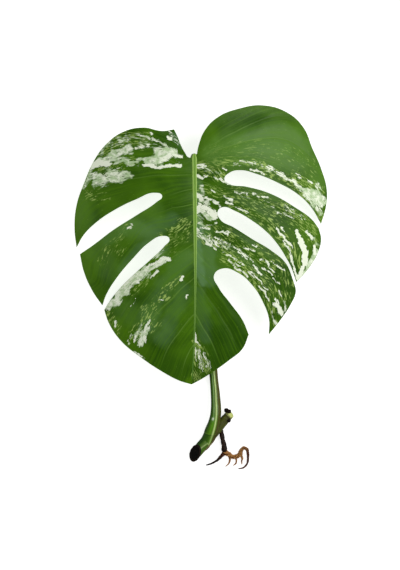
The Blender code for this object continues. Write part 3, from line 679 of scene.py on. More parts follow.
def finish_piece(piece, finish, slot, *nodes):
    """Gives a piece its finish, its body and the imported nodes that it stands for."""
    piece.data.materials.clear()
    piece.data.materials.append(finish)
    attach(piece, "root")
    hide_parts(*nodes)


# ---------------------------------------------------------------- finishes

class Finish:
    """One material and short ways to add and join its nodes."""

    def __init__(self, name, **sockets):
        self.material = bpy.data.materials.new(name)
        self.material.use_nodes = True
        self.tree = self.material.node_tree
        self.shader = self.tree.nodes["Principled BSDF"]
        for socket, value in sockets.items():
            self.shader.inputs[socket.replace("_", " ")].default_value = value

    def add(self, kind, feeds, output=0, **settings):
        """Adds a node with these settings, feeds its sockets and returns one of its outputs."""
        made = self.tree.nodes.new("ShaderNode" + kind)
        for setting, value in settings.items():
            setattr(made, setting, value)
        for socket, value in feeds.items():
            self.feed(made.inputs[socket], value)
        return made.outputs[output]

    def feed(self, socket, value):
        """Joins a socket to another node's output, or sets it to a plain value."""
        if isinstance(value, bpy.types.NodeSocket):
            self.tree.links.new(value, socket)
        else:
            socket.default_value = value

    def maths(self, operation, first, second=0.0):
        return self.add("Math", {0: first, 1: second}, operation=operation)

    def plus(self, first, second):
        return self.maths("ADD", first, second)

    def minus(self, first, second):
        return self.maths("SUBTRACT", first, second)

    def times(self, first, second):
        return self.maths("MULTIPLY", first, second)

    def read(self, attribute, output=0):
        return self.add("Attribute", {}, output, attribute_name=attribute)

    def grain(self, vector, scale, detail, roughness, distortion=0.0, place=(0, 0, 0)):
        """Noise with its own scale along each axis, or with one scale along all three."""
        scales = scale if isinstance(scale, tuple) else (scale, scale, scale)
        feeds = {
            "Vector": self.add("Mapping", {0: vector, "Location": place, "Scale": scales}),
            "Scale": 1.0,
            "Detail": detail,
            "Roughness": roughness,
            "Distortion": distortion,
        }
        return self.add("TexNoise", feeds)

    def between(self, value, low, high, start=0.0, end=1.0):
        """A smooth step from `start` to `end` as the value goes from `low` to `high`."""
        feeds = {0: value, 1: low, 2: high, 3: start, 4: end}
        return self.add("MapRange", feeds, interpolation_type="SMOOTHSTEP")

    def blend(self, share, first, second, way="MIX"):
        """Two colours mixed. The Mix node's colours are its sockets 6 and 7, and its output 2."""
        feeds = {0: share, 6: first, 7: second}
        return self.add("Mix", feeds, 2, data_type="RGBA", blend_type=way)

    def bump(self, height, strength, distance):
        return self.add("Bump", {"Height": height, "Strength": strength, "Distance": distance})

    def set(self, socket, value):
        self.feed(self.shader.inputs[socket], value)


def rgba(colour):
    """A colour as the four numbers that a socket takes."""
    return (*colour, 1.0)


# ---------------------------------------------------------------- settings

def colour_setting(name, description, default):
    """A colour that can be changed in the panel."""
    return FloatVectorProperty(
        name=name, description=description, default=default, subtype="COLOR", min=0, max=1
    )


def length_setting(name, description, default):
    """A length that can be changed in the panel."""
    return FloatProperty(
        name=name, description=description, default=default, min=0, unit="LENGTH", precision=5
    )


class BladeSettings(bpy.types.PropertyGroup):
    grid: length_setting("Surface spacing", "Distance between the blade's surface points", 0.97 * MM)
    thickness: length_setting("Thickness", "How thick the finished blade is", 0.5 * MM)
    quilting: length_setting("Quilting", "How far the tissue puffs up between side veins", 1.1 * MM)
    groove: length_setting("Vein groove", "How deep the side veins sink in", 0.4 * MM)
    groove_width: length_setting("Groove width", "How wide a side vein's groove is", 1.1 * MM)
    deep_green: colour_setting("Deep green", "The darkest green", paint(38, 76, 2))
    leaf_green: colour_setting("Leaf green", "The usual green", paint(66, 108, 8))
    young_green: colour_setting("Young green", "The yellower green", paint(84, 130, 6))
    mint: colour_setting("Mint", "Half-pale tissue", paint(178, 204, 156))
    cream: colour_setting("Cream", "White tissue", paint(236, 244, 222))
    # The next two colours are painted sheen, standing in for the pale and the bluish reflections on the
    # wax.
    painted_sheen: colour_setting("Sheen_paint", "The waxy bloom on the green", paint(124, 172, 84))
    painted_blue_sheen: colour_setting("Blue_sheen_paint", "The bluish bloom beside the midrib", paint(142, 186, 142))
    fleck: colour_setting("Fleck", "Fine light flecks", paint(182, 210, 112))
    vein: colour_setting("Vein", "Side veins", paint(112, 150, 66))
    underside: colour_setting("Underside", "The paler back of the blade", paint(112, 146, 78))


class StalkSettings(bpy.types.PropertyGroup):
    rib_edge: colour_setting("Rib edge", "The bright edges of the midrib", paint(168, 204, 104))
    rib_middle: colour_setting("Rib middle", "The channel of the midrib", paint(104, 148, 44))
    # Bright and dark green are the petiole's one green, lit and in painted shade.
    bright: colour_setting("Bright green", "The lit green of the petiole", paint(76, 126, 4))
    dark: colour_setting("Dark green", "The deep green of the petiole", paint(26, 52, 0))
    # The ridge colour is partly the pale, dry edge of the ridge and partly a painted highlight along it.
    ridge: colour_setting("Ridge", "The pale line along the petiole", paint(206, 226, 150))
    olive: colour_setting("Olive", "The brownish right side of the petiole", paint(74, 72, 18))
    stem: colour_setting("Stem", "The young stem", paint(82, 92, 24))
    bark: colour_setting("Bark", "Brown, corky tissue", paint(92, 76, 46))
    cut: colour_setting("Young cut", "The fresh cut's pale face", paint(196, 206, 120))


class DrySettings(bpy.types.PropertyGroup):
    black: colour_setting("Black", "Dried, blackened tissue", paint(12, 8, 6))
    brown: colour_setting("Brown", "Its worn, brown places", paint(58, 36, 24))
    tan: colour_setting("Tan", "The lightest root", paint(204, 150, 84))
    red_brown: colour_setting("Red-brown", "The darker roots", paint(98, 48, 20))
    pale: colour_setting("Pale", "The roots' pale tips and scuffs", paint(214, 186, 146))


class StageSettings(bpy.types.PropertyGroup):
    table: colour_setting("Table", "The pale table", paint(200, 200, 200))
    table_glow: FloatProperty(
        name="Table glow", description="The light that comes through the table", default=0.8, min=0
    )
    lens: FloatProperty(name="Lens", description="The camera's lens", default=135, min=20, unit="CAMERA")
    view_height: length_setting("View height", "How much of the table the view takes in", 0.557)
    view_right: length_setting("View right", "The view's centre right of the leaf's base", 6.8 * MM)
    view_down: length_setting("View down", "The view's centre below the leaf's base", 125 * MM)
    side_light: FloatProperty(name="Side light", description="The main soft light", default=17, min=0)
    fill_light: FloatProperty(name="Fill light", description="The light from the left", default=6, min=0)
    sky: FloatProperty(name="Sky", description="The even light from all round", default=0.2, min=0)


# ---------------------------------------------------------------- the blade

def edge_line():
    """The blade's edge as an array of closely spaced (x, y) about its base."""
    curve = bpy.data.curves.new("blade_edge", "CURVE")
    curve.dimensions = "2D"
    curve.fill_mode = "NONE"
    curve.resolution_u = 16
    knots = [(point, n == 0) for stretch in EDGE for n, point in enumerate(stretch[:-1])]
    spline = curve.splines.new("BEZIER")
    spline.bezier_points.add(len(knots) - 1)
    spline.use_cyclic_u = True
    for knot, (point, corner) in zip(spline.bezier_points, knots):
        knot.co = (point[0] * MM, point[1] * MM, 0)
        knot.handle_left_type = "VECTOR" if corner else "AUTO"
        knot.handle_right_type = "VECTOR" if corner else "AUTO"
    drawn = bpy.data.objects.new("blade_edge", curve)
    bpy.context.scene.collection.objects.link(drawn)
    bpy.context.view_layer.update()
    graph = bpy.context.evaluated_depsgraph_get()
    mesh = bpy.data.meshes.new_from_object(drawn.evaluated_get(graph))
    line = np.array([tuple(v.co)[:2] for v in mesh.vertices])
    bpy.data.objects.remove(drawn)
    bpy.data.curves.remove(curve)
    bpy.data.meshes.remove(mesh)
    apart = np.linalg.norm(line - np.roll(line, 1, axis=0), axis=1) > 0.05 * MM
    return line[apart]


def inside_edge(line, x, y):
    """Which places of one row at height y lie inside the closed line."""
    start, end = line, np.roll(line, -1, axis=0)
    crossing = (start[:, 1] > y) != (end[:, 1] > y)
    a, b = start[crossing], end[crossing]
    cuts = a[:, 0] + (y - a[:, 1]) / (b[:, 1] - a[:, 1]) * (b[:, 0] - a[:, 0])
    return (np.sum(cuts[None, :] < x[:, None], axis=1) % 2) == 1


def edge_distance(line, places):
    """How far each place is from the blade's edge."""
    tree = kdtree.KDTree(len(line))
    for number, point in enumerate(line):
        tree.insert((*point, 0), number)
    tree.balance()
    near = np.array([tree.find((*place, 0))[1] for place in places])
    found = np.full(len(places), np.inf)
    for first, second in ((near - 1, near), (near, (near + 1) % len(line))):
        start, reach = line[first], line[second] - line[first]
        share = np.sum((places - start) * reach, axis=1) / np.sum(reach * reach, axis=1)
        away = places - start - np.clip(share, 0, 1)[:, None] * reach
        found = np.minimum(found, np.linalg.norm(away, axis=1))
    return found


class VeinField:
    """The number of the side vein at any place, spread smoothly between the drawn veins."""

    STIFFNESS = 0.0006

    def __init__(self, veins):
        self.knots = np.array([p for _, line in veins for p in line]) / 100
        numbers = np.array([number for number, line in veins for _ in line])
        count = len(self.knots)
        plane = np.column_stack((np.ones(count), self.knots))
        bend = self.kernel(self.knots) + self.STIFFNESS * np.eye(count)
        system = np.block([[bend, plane], [plane.T, np.zeros((3, 3))]])
        self.weights = np.linalg.solve(system, np.concatenate((numbers, np.zeros(3))))

    def kernel(self, places):
        squared = np.sum((places[:, None] - self.knots[None]) ** 2, axis=2)
        return squared * np.log(np.maximum(squared, 1e-12))

    def at(self, places):
        scaled = places / (100 * MM)
        plane = np.column_stack((np.ones(len(scaled)), scaled))
        return np.column_stack((self.kernel(scaled), plane)) @ self.weights


def vein_numbers(places):
    """Each place's vein number, and the distance from one side vein to the next there."""
    right = places[:, 0] > midrib_x(places[:, 1])
    numbers = np.zeros(len(places))
    spacing = np.zeros(len(places))
    nudge = 0.5 * MM
    for half, veins in ((right, VEINS_RIGHT), (~right, VEINS_LEFT)):
        field = VeinField(veins)
        here = field.at(places[half])
        across = (field.at(places[half] + (nudge, 0)) - here) / nudge
        along = (field.at(places[half] + (0, nudge)) - here) / nudge
        numbers[half] = here
        spacing[half] = 1 / np.maximum(np.hypot(across, along), 1 / (60 * MM))
    return numbers, spacing


def patch_density(patches, places):
    """How dense the tissue of these patches is at each place, from 0 to about 1.

    A patch stays on its own side of the midrib, as it grew there.
    """
    density = np.zeros(len(places))
    right = places[:, 0] > midrib_x(places[:, 1])
    for strength, reach, line in patches:
        points = np.array(line) * MM
        own_side = right if points[0, 0] > 0 else ~right
        for start, end in zip(points[:-1], points[1:]):
            step = end - start
            share = np.clip((places - start) @ step / (step @ step), 0, 1)
            away = np.linalg.norm(places - start - share[:, None] * step, axis=1)
            fall = np.clip((1.5 * reach * MM - away) / (1.1 * reach * MM), 0, 1)
            density = np.maximum(density, strength * fall * fall * (3 - 2 * fall) * own_side)
    return density


def stray(places, reach, size, seed):
    """The places moved a little each way, so that what is drawn from them has a ragged edge."""
    moved = places.copy()
    for index, (x, y) in enumerate(places / size):
        push = noise.noise_vector(Vector((x, y, seed)))
        moved[index, 0] += reach * push.x
        moved[index, 1] += reach * push.y
    return moved


def blade_relief(settings, places, numbers, spacing, margin):
    """How the tissue puffs up between side veins and sinks in along them."""
    off_rib = np.abs(places[:, 0] - midrib_x(places[:, 1]))
    calm = step_up(margin, 0, 9 * MM) * (1 - np.exp(-off_rib / (12 * MM)))
    puff = np.sin(math.pi * numbers) ** 2 * np.clip(spacing / (22 * MM), 0.25, 1)
    to_vein = (numbers - np.rint(numbers)) * spacing
    groove = np.exp(-((to_vein / settings.groove_width) ** 2))
    groove *= step_up(margin, 1 * MM, 16 * MM) * step_up(off_rib, 1 * MM, 5 * MM)
    wave = 0.5 * MM * np.sin(places[:, 1] / (11 * MM) + places[:, 0] / (23 * MM))
    wave *= step_up(off_rib, 40 * MM, 110 * MM) * step_up(margin, 0, 20 * MM)
    return settings.quilting * calm * puff - settings.groove * groove + wave


def blade_faces(line, grid):
    """The places of the blade's surface points about its base, and the triangles between them."""
    low, high = line.min(axis=0), line.max(axis=0)
    rows = []
    for y in np.arange(math.ceil(low[1] / grid), math.floor(high[1] / grid) + 1) * grid:
        reach = math.ceil(BLADE_WIDTH / grid)
        x = np.arange(-reach, reach + 1) * grid + midrib_x(y)
        x = x[inside_edge(line, x, y)]
        rows.append(np.column_stack((x, np.full(len(x), y))))
    inner = np.concatenate(rows)
    inner = inner[edge_distance(line, inner) > 0.62 * grid]
    flat = [Vector(p) for p in np.concatenate((line, inner))]
    edge = [(n, (n + 1) % len(line)) for n in range(len(line))]
    made = delaunay_2d_cdt(flat, edge, [], 1, 0.001 * MM)
    return np.array([tuple(point) for point in made[0]]), made[2]


def make_blade(settings, upper, under):
    """The blade: its relief, the attributes that its finish reads, and its thickness."""
    line = edge_line()
    places, faces = blade_faces(line, settings.grid)
    margin = edge_distance(line, places)
    numbers, spacing = vein_numbers(places)
    height = blade_height(places[:, 0], places[:, 1]) + BLADE_THICKNESS / 2
    height += blade_relief(settings, places, numbers, spacing, margin)
    height = np.maximum(height, settings.thickness + 0.1 * MM)
    shape = np.column_stack((places, height)) + np.array(BASE)

    mesh = bpy.data.meshes.new("monstera_blade")
    mesh.from_pydata(shape, [], faces)
    blade = bpy.data.objects.new("monstera_blade", mesh)
    bpy.context.scene.collection.objects.link(blade)
    store(mesh, "margin", margin / MM)
    store(mesh, "spacing", spacing / MM)
    store(mesh, "off_rib", np.abs(places[:, 0] - midrib_x(places[:, 1])) / MM)
    ragged = stray(stray(places, 1.7 * MM, 8 * MM, 3.1), 0.9 * MM, 2.6 * MM, 7.7)
    loose = stray(stray(places, 3.5 * MM, 11 * MM, 1.3), 1.6 * MM, 4 * MM, 5.9)
    tissue = [patch_density(CREAM, ragged), patch_density(MINT, loose)]
    tissue += [patch_density(YELLOW, places), patch_density(DEEP, places)]
    # The second and third of these tables are painted sheen: patches where reflections on the wax are
    # painted in.
    for name, table in (("flecks", FLECKS), ("painted_sheen", PAINTED_SHEEN), ("painted_blue_sheen", PAINTED_BLUE_SHEEN)):
        store(mesh, name, patch_density(table, loose))
    patches = mesh.attributes.new("tissue", "FLOAT_COLOR", "POINT")
    patches.data.foreach_set("color", np.column_stack(tissue).reshape(-1).astype(np.float32))
    store_flow(mesh, places, numbers)

    select_only(blade)
    mesh.materials.append(upper)
    mesh.materials.append(under)
    wall = blade.modifiers.new("Thickness", "SOLIDIFY")
    wall.thickness = settings.thickness
    wall.offset = -1
    wall.material_offset = 1
    wall.material_offset_rim = 0
    bpy.ops.object.modifier_apply(modifier=wall.name)
    bpy.ops.object.shade_smooth_by_angle(angle=math.radians(50))
    return blade


def store(mesh, name, values):
    """Keeps a number for each of the mesh's points, for its finish to read."""
    made = mesh.attributes.new(name, "FLOAT", "POINT")
    made.data.foreach_set("value", np.asarray(values, np.float32))


# The left half's vein numbers are moved on by this much, so that its noise is its own.
LEFT_HALF_SHIFT = 40


def store_flow(mesh, places, numbers):
    """A UV map with the vein number across and centimetres along the veins.

    The number jumps at the midrib, so each face takes it from its own half.
    """
    loops = np.zeros(len(mesh.loops), np.int32)
    mesh.loops.foreach_get("vertex_index", loops)
    corners = loops.reshape(-1, 3)
    middle = places[corners].mean(axis=1)
    left = np.repeat(middle[:, 0] < midrib_x(middle[:, 1]), 3)
    fields = {True: VeinField(VEINS_LEFT), False: VeinField(VEINS_RIGHT)}
    on_rib = np.abs(places[:, 0] - midrib_x(places[:, 1])) < 1.5 * MM
    value = numbers[loops]
    for side in (True, False):
        pick = (left == side) & on_rib[loops]
        value[pick] = fields[side].at(places[loops[pick]])
    along = (0.8 * np.abs(places[:, 0]) - 0.6 * places[:, 1])[loops] * 100
    flow = np.column_stack((value + np.where(left, LEFT_HALF_SHIFT, 0), along))
    layer = mesh.uv_layers.new(name="flow")
    layer.uv.foreach_set("vector", flow.reshape(-1).astype(np.float32))


def cut_out(make, share, parts, softness):
    """Tissue where the share is high: a high share fills in, a low one leaves only flecks."""
    level = 0.0
    for part, weight in parts:
        level = make.plus(make.times(make.minus(part, 0.5), weight), level)
    level = make.plus(level, make.minus(share, 0.5))
    return make.times(make.between(level, -softness, softness), make.between(share, 0.04, 0.2))


def green_tissue(make, settings, flow, place, young_share, deep_share):
    """The green, with its slow changes, its painted sheen and its fine lines along the side veins."""
    slow = make.grain(place, 26, 3, 0.5)
    green = make.blend(
        make.between(slow, 0.35, 0.68), rgba(settings.leaf_green), rgba(settings.deep_green)
    )
    green = make.blend(make.times(deep_share, 0.75), green, rgba(settings.deep_green))
    green = make.blend(young_share, green, rgba(settings.young_green))
    # Painted sheen: paler and bluish green blended in where reflections on the wax would be.
    for name, most in (("painted_sheen", 0.42), ("painted_blue_sheen", 0.40)):
        share = make.times(make.read(name, "Fac"), make.between(slow, 0.3, 0.7, 0.26, most))
        green = make.blend(share, green, rgba(getattr(settings, name)))
    lines = make.grain(flow, (16, 0.16, 1), 2, 0.5, place=(1, 5, 0))
    green = make.blend(make.between(lines, 0.42, 0.72, 0.0, 0.35), green, rgba(settings.young_green))
    speckle = make.grain(flow, (30, 3.4, 1), 3, 0.6, place=(9, 9, 0))
    green = make.blend(make.between(speckle, 0.66, 0.74, 0.0, 0.3), green, rgba(settings.fleck))
    return green, lines


def vein_lines(make, flow):
    """Thin lines where the side veins run, fading towards the margin."""
    number = make.add("SeparateXYZ", {0: flow})
    nearest = make.minus(make.maths("FRACT", make.plus(number, 0.5)), 0.5)
    to_vein = make.maths("ABSOLUTE", make.times(nearest, make.read("spacing", "Fac")))
    inside = make.between(make.read("margin", "Fac"), 2, 30)
    outwards = make.between(make.read("off_rib", "Fac"), 30, 110, 0.9, 0.25)
    return make.times(make.between(to_vein, 0.25, 0.8, 1.0, 0.0), make.times(inside, outwards))


def leaf_finish(name, settings, back):
    """Waxy green tissue with streaks of mint and cream that follow the side veins."""
    make = Finish(name, Specular_IOR_Level=0.13)
    flow = make.add("UVMap", {}, uv_map="flow")
    place = make.add("TexCoord", {}, "Object")
    tissue = make.add("SeparateColor", {0: make.read("tissue")})
    cream_share, mint_share, young_share = (tissue.node.outputs[n] for n in range(3))
    deep_share = make.read("tissue", "Alpha")

    # Noise drawn out along the veins, and rounder noise, together cut the pale patches out.
    streaks = make.grain(flow, (20, 1.7, 1), 4, 0.62)
    fine_streaks = make.grain(flow, (30, 3.0, 1), 3, 0.6, place=(3, 7, 0))
    wide_streaks = make.grain(flow, (9, 1.0, 1), 4, 0.62, place=(11, 2, 0))
    dashes = make.grain(flow, (22, 1.6, 1), 3, 0.65, place=(5, 3, 0))
    blots = make.grain(place, (150, 190, 150), 4, 0.6, 0.4)
    wide_blots = make.grain(place, (110, 150, 110), 5, 0.65, 0.6, place=(4, 1, 2))
    cream_parts = ((streaks, 2.1), (fine_streaks, 1.5), (blots, 0.8))
    cream_mask = cut_out(make, cream_share, cream_parts, 0.035)
    mint_parts = ((wide_streaks, 1.5), (fine_streaks, 0.9), (wide_blots, 1.1))
    mint_mask = cut_out(make, mint_share, mint_parts, 0.14)
    fleck_parts = ((dashes, 3.0), (wide_streaks, 1.4))
    fleck_mask = cut_out(make, make.read("flecks", "Fac"), fleck_parts, 0.09)

    green, lines = green_tissue(make, settings, flow, place, young_share, deep_share)
    green = make.blend(make.times(fleck_mask, 0.62), green, rgba(settings.fleck))
    vein = vein_lines(make, flow)
    green = make.blend(make.times(vein, 0.9 if back else 0.42), green, rgba(settings.vein))

    mint_tone = make.blend(make.between(blots, 0.38, 0.66), rgba(settings.mint), rgba(settings.cream))
    mint_tone = make.blend(make.between(fine_streaks, 0.52, 0.66, 0.0, 0.55), mint_tone, green)
    colour = make.blend(mint_mask, green, mint_tone)
    colour = make.blend(cream_mask, colour, rgba(settings.cream))
    rim = make.between(make.read("margin", "Fac"), 0.15, 0.6, 0.55, 0.0)
    colour = make.blend(rim, colour, rgba(settings.young_green))
    if back:
        colour = make.blend(0.62, colour, rgba(settings.underside))
    make.set("Base Color", colour)

    # Wax that is a little uneven, and a pale tissue that is duller than the green.
    wax = make.grain(place, 420, 2, 0.5)
    smoothest, roughest = (0.60, 0.70) if back else (0.36, 0.46)
    rough = make.between(wax, 0.3, 0.7, smoothest, roughest)
    make.set("Roughness", make.plus(rough, make.times(cream_mask, 0.08)))
    cells = make.grain(place, 1500, 2, 0.6)
    height = make.plus(make.times(lines, 0.5), make.times(cells, 0.18))
    height = make.minus(height, make.times(vein, 0.5))
    make.set("Normal", make.bump(height, 0.55, 0.35 * MM))
    return make.material


class MONSTERA_OT_blade(bpy.types.Operator):
    """Make the slotted blade with its side veins and pale patches"""

    bl_idname = "monstera.blade"
    bl_label = "Leaf Blade"
    bl_options = {"REGISTER", "UNDO"}

    def execute(self, context):
        settings = context.scene.monstera_blade
        upper = leaf_finish("Waxy variegated face", settings, back=False)
        under = leaf_finish("Pale matt underside", settings, back=True)
        blade = make_blade(settings, upper, under)
        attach(blade, "root")
        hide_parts("leaf_blade")
        return {"FINISHED"}


# ---------------------------------------------------------------- the midrib, petiole and stem

def stalk_finish(name, roughness, lines, speckle, coat=0.07):
    """Smooth plant skin over the painted tint, with fine lines along the stalk."""
    make = Finish(name, Coat_Weight=coat, Coat_Roughness=0.12, Specular_IOR_Level=0.2)
    along = make.add("UVMap", {}, uv_map="UVMap")
    place = make.add("TexCoord", {}, "Object")
    tint = make.read("tint")
    fibres = make.grain(along, (42, 0.9, 1), 3, 0.6)
    spots = make.grain(place, 900, 2, 0.6)
    shade = make.between(fibres, 0.32, 0.68, 1 - lines, 1 + lines * 0.6)
    tone = make.add("CombineColor", {0: shade, 1: shade, 2: shade})
    colour = make.blend(1.0, tint, tone, "MULTIPLY")
    dust = make.between(spots, 0.64, 0.72, 0.0, speckle)
    colour = make.blend(dust, colour, rgba(paint(170, 186, 120)))
    make.set("Base Color", colour)
    make.set("Roughness", make.between(spots, 0.3, 0.7, roughness - 0.05, roughness + 0.08))
    height = make.plus(make.times(fibres, 0.7), make.times(spots, 0.3))
    make.set("Normal", make.bump(height, 0.5, 0.3 * MM))
    return make.material


# How far down the midrib its ribbon is measured, and half its width there, in millimetres.
RIB_PLACES = (-3, 0, 60, 100, 135, 170, 200, 223)
HALF_RIB = (2.4, 2.5, 2.0, 1.45, 1.0, 0.75, 0.55, 0.4)


def make_midrib(settings):
    """The rib: a half-round keel under the blade, and a pale, channelled ribbon on its face."""
    start, end = 3.2 * MM, -BLADE_REACH + 2.5 * MM
    rows, around = 420, 40
    y = np.linspace(start, end, rows)
    share = (y - start) / (end - start)
    half = np.interp(-y / MM, RIB_PLACES, HALF_RIB) * MM
    keel = np.interp(share, (0, 1), (3.4, 0.8)) * MM
    proud = np.interp(share, (0, 0.3, 1), (0.9, 0.65, 0.28)) * MM
    tuck = np.clip(share * 48, 0, 1) ** 0.5 * np.clip((1 - share) * 60, 0, 1) ** 0.5
    centre = np.column_stack((midrib_x(y), y, ridge_height(y))) + np.array(BASE)
    rings = np.zeros((rows, around, 3))
    angles = ring_angles(around)
    for column, turn in enumerate(angles):
        side, rise = math.sin(turn), math.cos(turn)
        over = rise > 0
        wide = np.where(over, half, np.maximum(keel, half)) * side
        channel = 0.34 * np.exp(-((side / 0.30) ** 2))
        top = BLADE_THICKNESS / 2 + proud * (rise**0.55 - channel) if over else 0
        down = 0 if over else -2 * keel * abs(rise) ** 1.15
        rings[:, column, 0] = centre[:, 0] + wide * tuck
        rings[:, column, 1] = centre[:, 1]
        rings[:, column, 2] = centre[:, 2] + (top + down) * tuck
    rings[..., 2] += wobble(rings, 7 * MM, 2.0, 2) * 0.06 * MM

    side = np.sin(angles)[None, :] * np.ones((rows, 1))
    rise = np.cos(angles)[None, :]
    down_rib = (-y / MM)[:, None]
    edge = tinted(settings.rib_edge, paint(104, 148, 66), step_up(down_rib, 60, 200))
    middle = tinted(settings.rib_middle, paint(84, 124, 40), step_up(down_rib, 60, 190))
    colours = layered(
        edge,
        (middle, hump(side, 0.05, 0.62)),
        # the shaded left edge, then the paler keel
        (paint(44, 84, 12), hump(side, -1.0, 0.22) * 0.55 * (rise > -0.2)),
        (paint(142, 168, 98), step_up(-rise, 0.1, 0.5)),
    )
    return wrap("monstera_midrib", rings, colours)


def petiole_knots():
    """From the clasp round the node, along the table and up to the blade's base."""
    # Place about the node in millimetres, height over the table, and radius.
    near_node = (
        ((-2.2, -3.2), STEM_RADIUS + 0.8 * MM, 0.99 * CLASP_RADIUS),
        ((-0.6, -0.5), STEM_RADIUS + 1.3 * MM, CLASP_RADIUS),
        ((2.6, 7.0), STEM_RADIUS + 3.9 * MM, 1.02 * CLASP_RADIUS),
        ((5.7, 15.1), STEM_RADIUS + 6.0 * MM, 0.94 * CLASP_RADIUS),
        ((7.6, 23.3), STEM_RADIUS + 6.2 * MM, 0.87 * CLASP_RADIUS),
        ((8.1, 31.3), STEM_RADIUS + 5.0 * MM, 0.81 * CLASP_RADIUS),
        ((7.8, 39.5), STEM_RADIUS + 2.9 * MM, 1.12 * PETIOLE_RADIUS),
        ((7.2, 47.6), 1.75 * PETIOLE_RADIUS, 1.06 * PETIOLE_RADIUS),
        ((6.4, 56.0), 1.35 * PETIOLE_RADIUS, PETIOLE_RADIUS),
        ((4.9, 72.0), 1.10 * PETIOLE_RADIUS, PETIOLE_RADIUS),
    )
    knots = [
        (NODE + Vector((x * MM, y * MM, height - BASE.z)), radius)
        for (x, y), height, radius in near_node
    ]
    start = Vector((NODE_OFFSET + 4.9 * MM, -(BLADE_REACH + TIP_TO_NODE) + 72 * MM, 0))
    flat_end = Vector((4.0 * MM, -0.34 * BLADE_REACH, 0))
    for share, height in ((0.3, 1.02), (0.62, 1.0), (1.0, 1.0)):
        bow = 1.5 * MM * math.sin(math.pi * share)
        point = start.lerp(flat_end, share) - Vector((bow, 0, 0))
        knots.append((BASE + Vector((point.x, point.y, height * PETIOLE_RADIUS)), PETIOLE_RADIUS))
    top = 33.3 * MM
    # Place below the blade's base, share of the climb, place to the right, and radius.
    climb = (
        (-62.0, 0.035, 3.3, PETIOLE_RADIUS),
        (-48.0, 0.13, 2.8, PETIOLE_RADIUS),
        (-28.0, 0.38, 2.2, 0.5 * (PETIOLE_RADIUS + KNEE_RADIUS)),
        (-14.0, 0.68, 1.7, KNEE_RADIUS),
        (-5.5, 0.90, 1.4, KNEE_RADIUS),
        (-1.8, 1.02, 1.3, 0.9 * KNEE_RADIUS),
        (0.8, 1.10, 1.3, 0.72 * KNEE_RADIUS),
    )
    for y, share, x, radius in climb:
        height = PETIOLE_RADIUS + share * (top - PETIOLE_RADIUS)
        knots.append((BASE + Vector((x * MM, y * MM, height)), radius))
    return knots


def make_petiole(settings):
    """The long stalk, from its clasp at the node to its wrinkled knee at the blade."""
    run = Run(petiole_knots(), 620)
    angles = ring_angles(56)
    from_node = (run.along / MM)[:, None]
    # The ridge line stands right of the top at the clasp and wanders over the top further on.
    places = (0, 6, 12, 22, 32, 42, 58, 110)
    ridge_at = np.radians(np.interp(from_node, places, (38, 30, 25, 14, 4, 2, 8, 4)))
    turn = angles[None, :]
    girth = 1 + 0.055 * hump(turn, ridge_at, 0.17) - 0.035 * hump(turn, ridge_at + 0.55, 0.3)
    girth -= 0.03 * hump(turn, ridge_at - 0.6, 0.35)
    girth += 0.012 * wobble(run.places, 9 * MM, 3.0)[:, None]
    to_knee = (run.along[-1] - run.along)[:, None] / MM
    knee = step_up(to_knee, 34, 8)
    wrinkles = 0.5 + 0.5 * np.sin(to_knee * 3.1 + 1.4 * np.sin(3 * turn + to_knee * 0.4))
    girth -= 0.022 * knee * wrinkles
    girth += 0.06 * step_up(from_node, 8, 16) * step_up(-from_node, -90, -70)
    # The scar of the old sheath crosses the stalk a little above the clasp.
    scar_at = 11.0 + 1.3 * np.sin(turn)
    girth += hump(from_node, 3.4, 1.0) * 0.012 + 0.02 * step_up(from_node - scar_at, -0.3, 0.3)
    rings = close_both_ends(run, run.rings(turn, girth), 1.2 * MM)

    left = np.maximum(step_up(-turn, -0.1, 1.2), step_up(-turn, 0.75, 1.15))
    off_ridge = turn - ridge_at
    high_up = step_up(from_node, 20, 34)
    below_scar = step_up(scar_at - from_node, -0.25, 0.25)
    brown_lines = hump(off_ridge, 0.62, 0.09) + 0.7 * hump(off_ridge, 1.05, 0.08)
    colours = layered(
        # painted shade: the left side is taken from the lit green towards the dark one
        tinted(settings.bright, settings.dark, left * 0.9),
        # right of the ridge: olive skin with brown lines, and painted shade where it turns under
        (settings.olive, step_up(off_ridge, 0.12, 0.4) * 0.85),
        (paint(70, 40, 18), brown_lines * 0.7),
        (settings.dark, step_up(off_ridge, 0.9, 1.5) * 0.8),
        # left of the ridge: a painted highlight as a pale line further up, with a dark line beside it,
        # and as a broader bright band by the bend
        (paint(176, 206, 148), hump(turn, ridge_at - 0.46, 0.085) * high_up * 0.75),
        (settings.dark, hump(turn, ridge_at - 0.24, 0.07) * high_up * 0.6),
        (paint(98, 154, 28), hump(turn, ridge_at - 0.46, 0.3) * (1 - high_up) * 0.5),
        # the old sheath below the scar, and the scar itself
        (paint(40, 78, 6), below_scar * step_up(-off_ridge, 0.05, 0.4) * 0.8),
        (paint(84, 126, 26), below_scar * hump(turn, ridge_at - 0.3, 0.16) * 0.6),
        (paint(34, 56, 8), hump(from_node, scar_at - 0.2, 0.4) * 0.75),
        (paint(120, 160, 50), hump(from_node, scar_at + 0.6, 0.35) * 0.4),
        # the pale ridge line: partly its pale, dry edge and partly a painted highlight along it
        (settings.ridge, hump(turn, ridge_at, 0.115) * (1 - 0.35 * below_scar) * 0.95),
        # a painted glint, a small pale spot at the bend, and the paler knee
        (paint(232, 242, 222), hump(from_node, 25.9, 1.2) * hump(turn, -0.38, 0.17)),
        (paint(120, 152, 66), knee * 0.5),
    )
    return wrap("monstera_petiole", rings, over_ends(colours, rings))


# How many places along the stem its skin is worked out at, before it is cut.
STEM_PLACES = 260


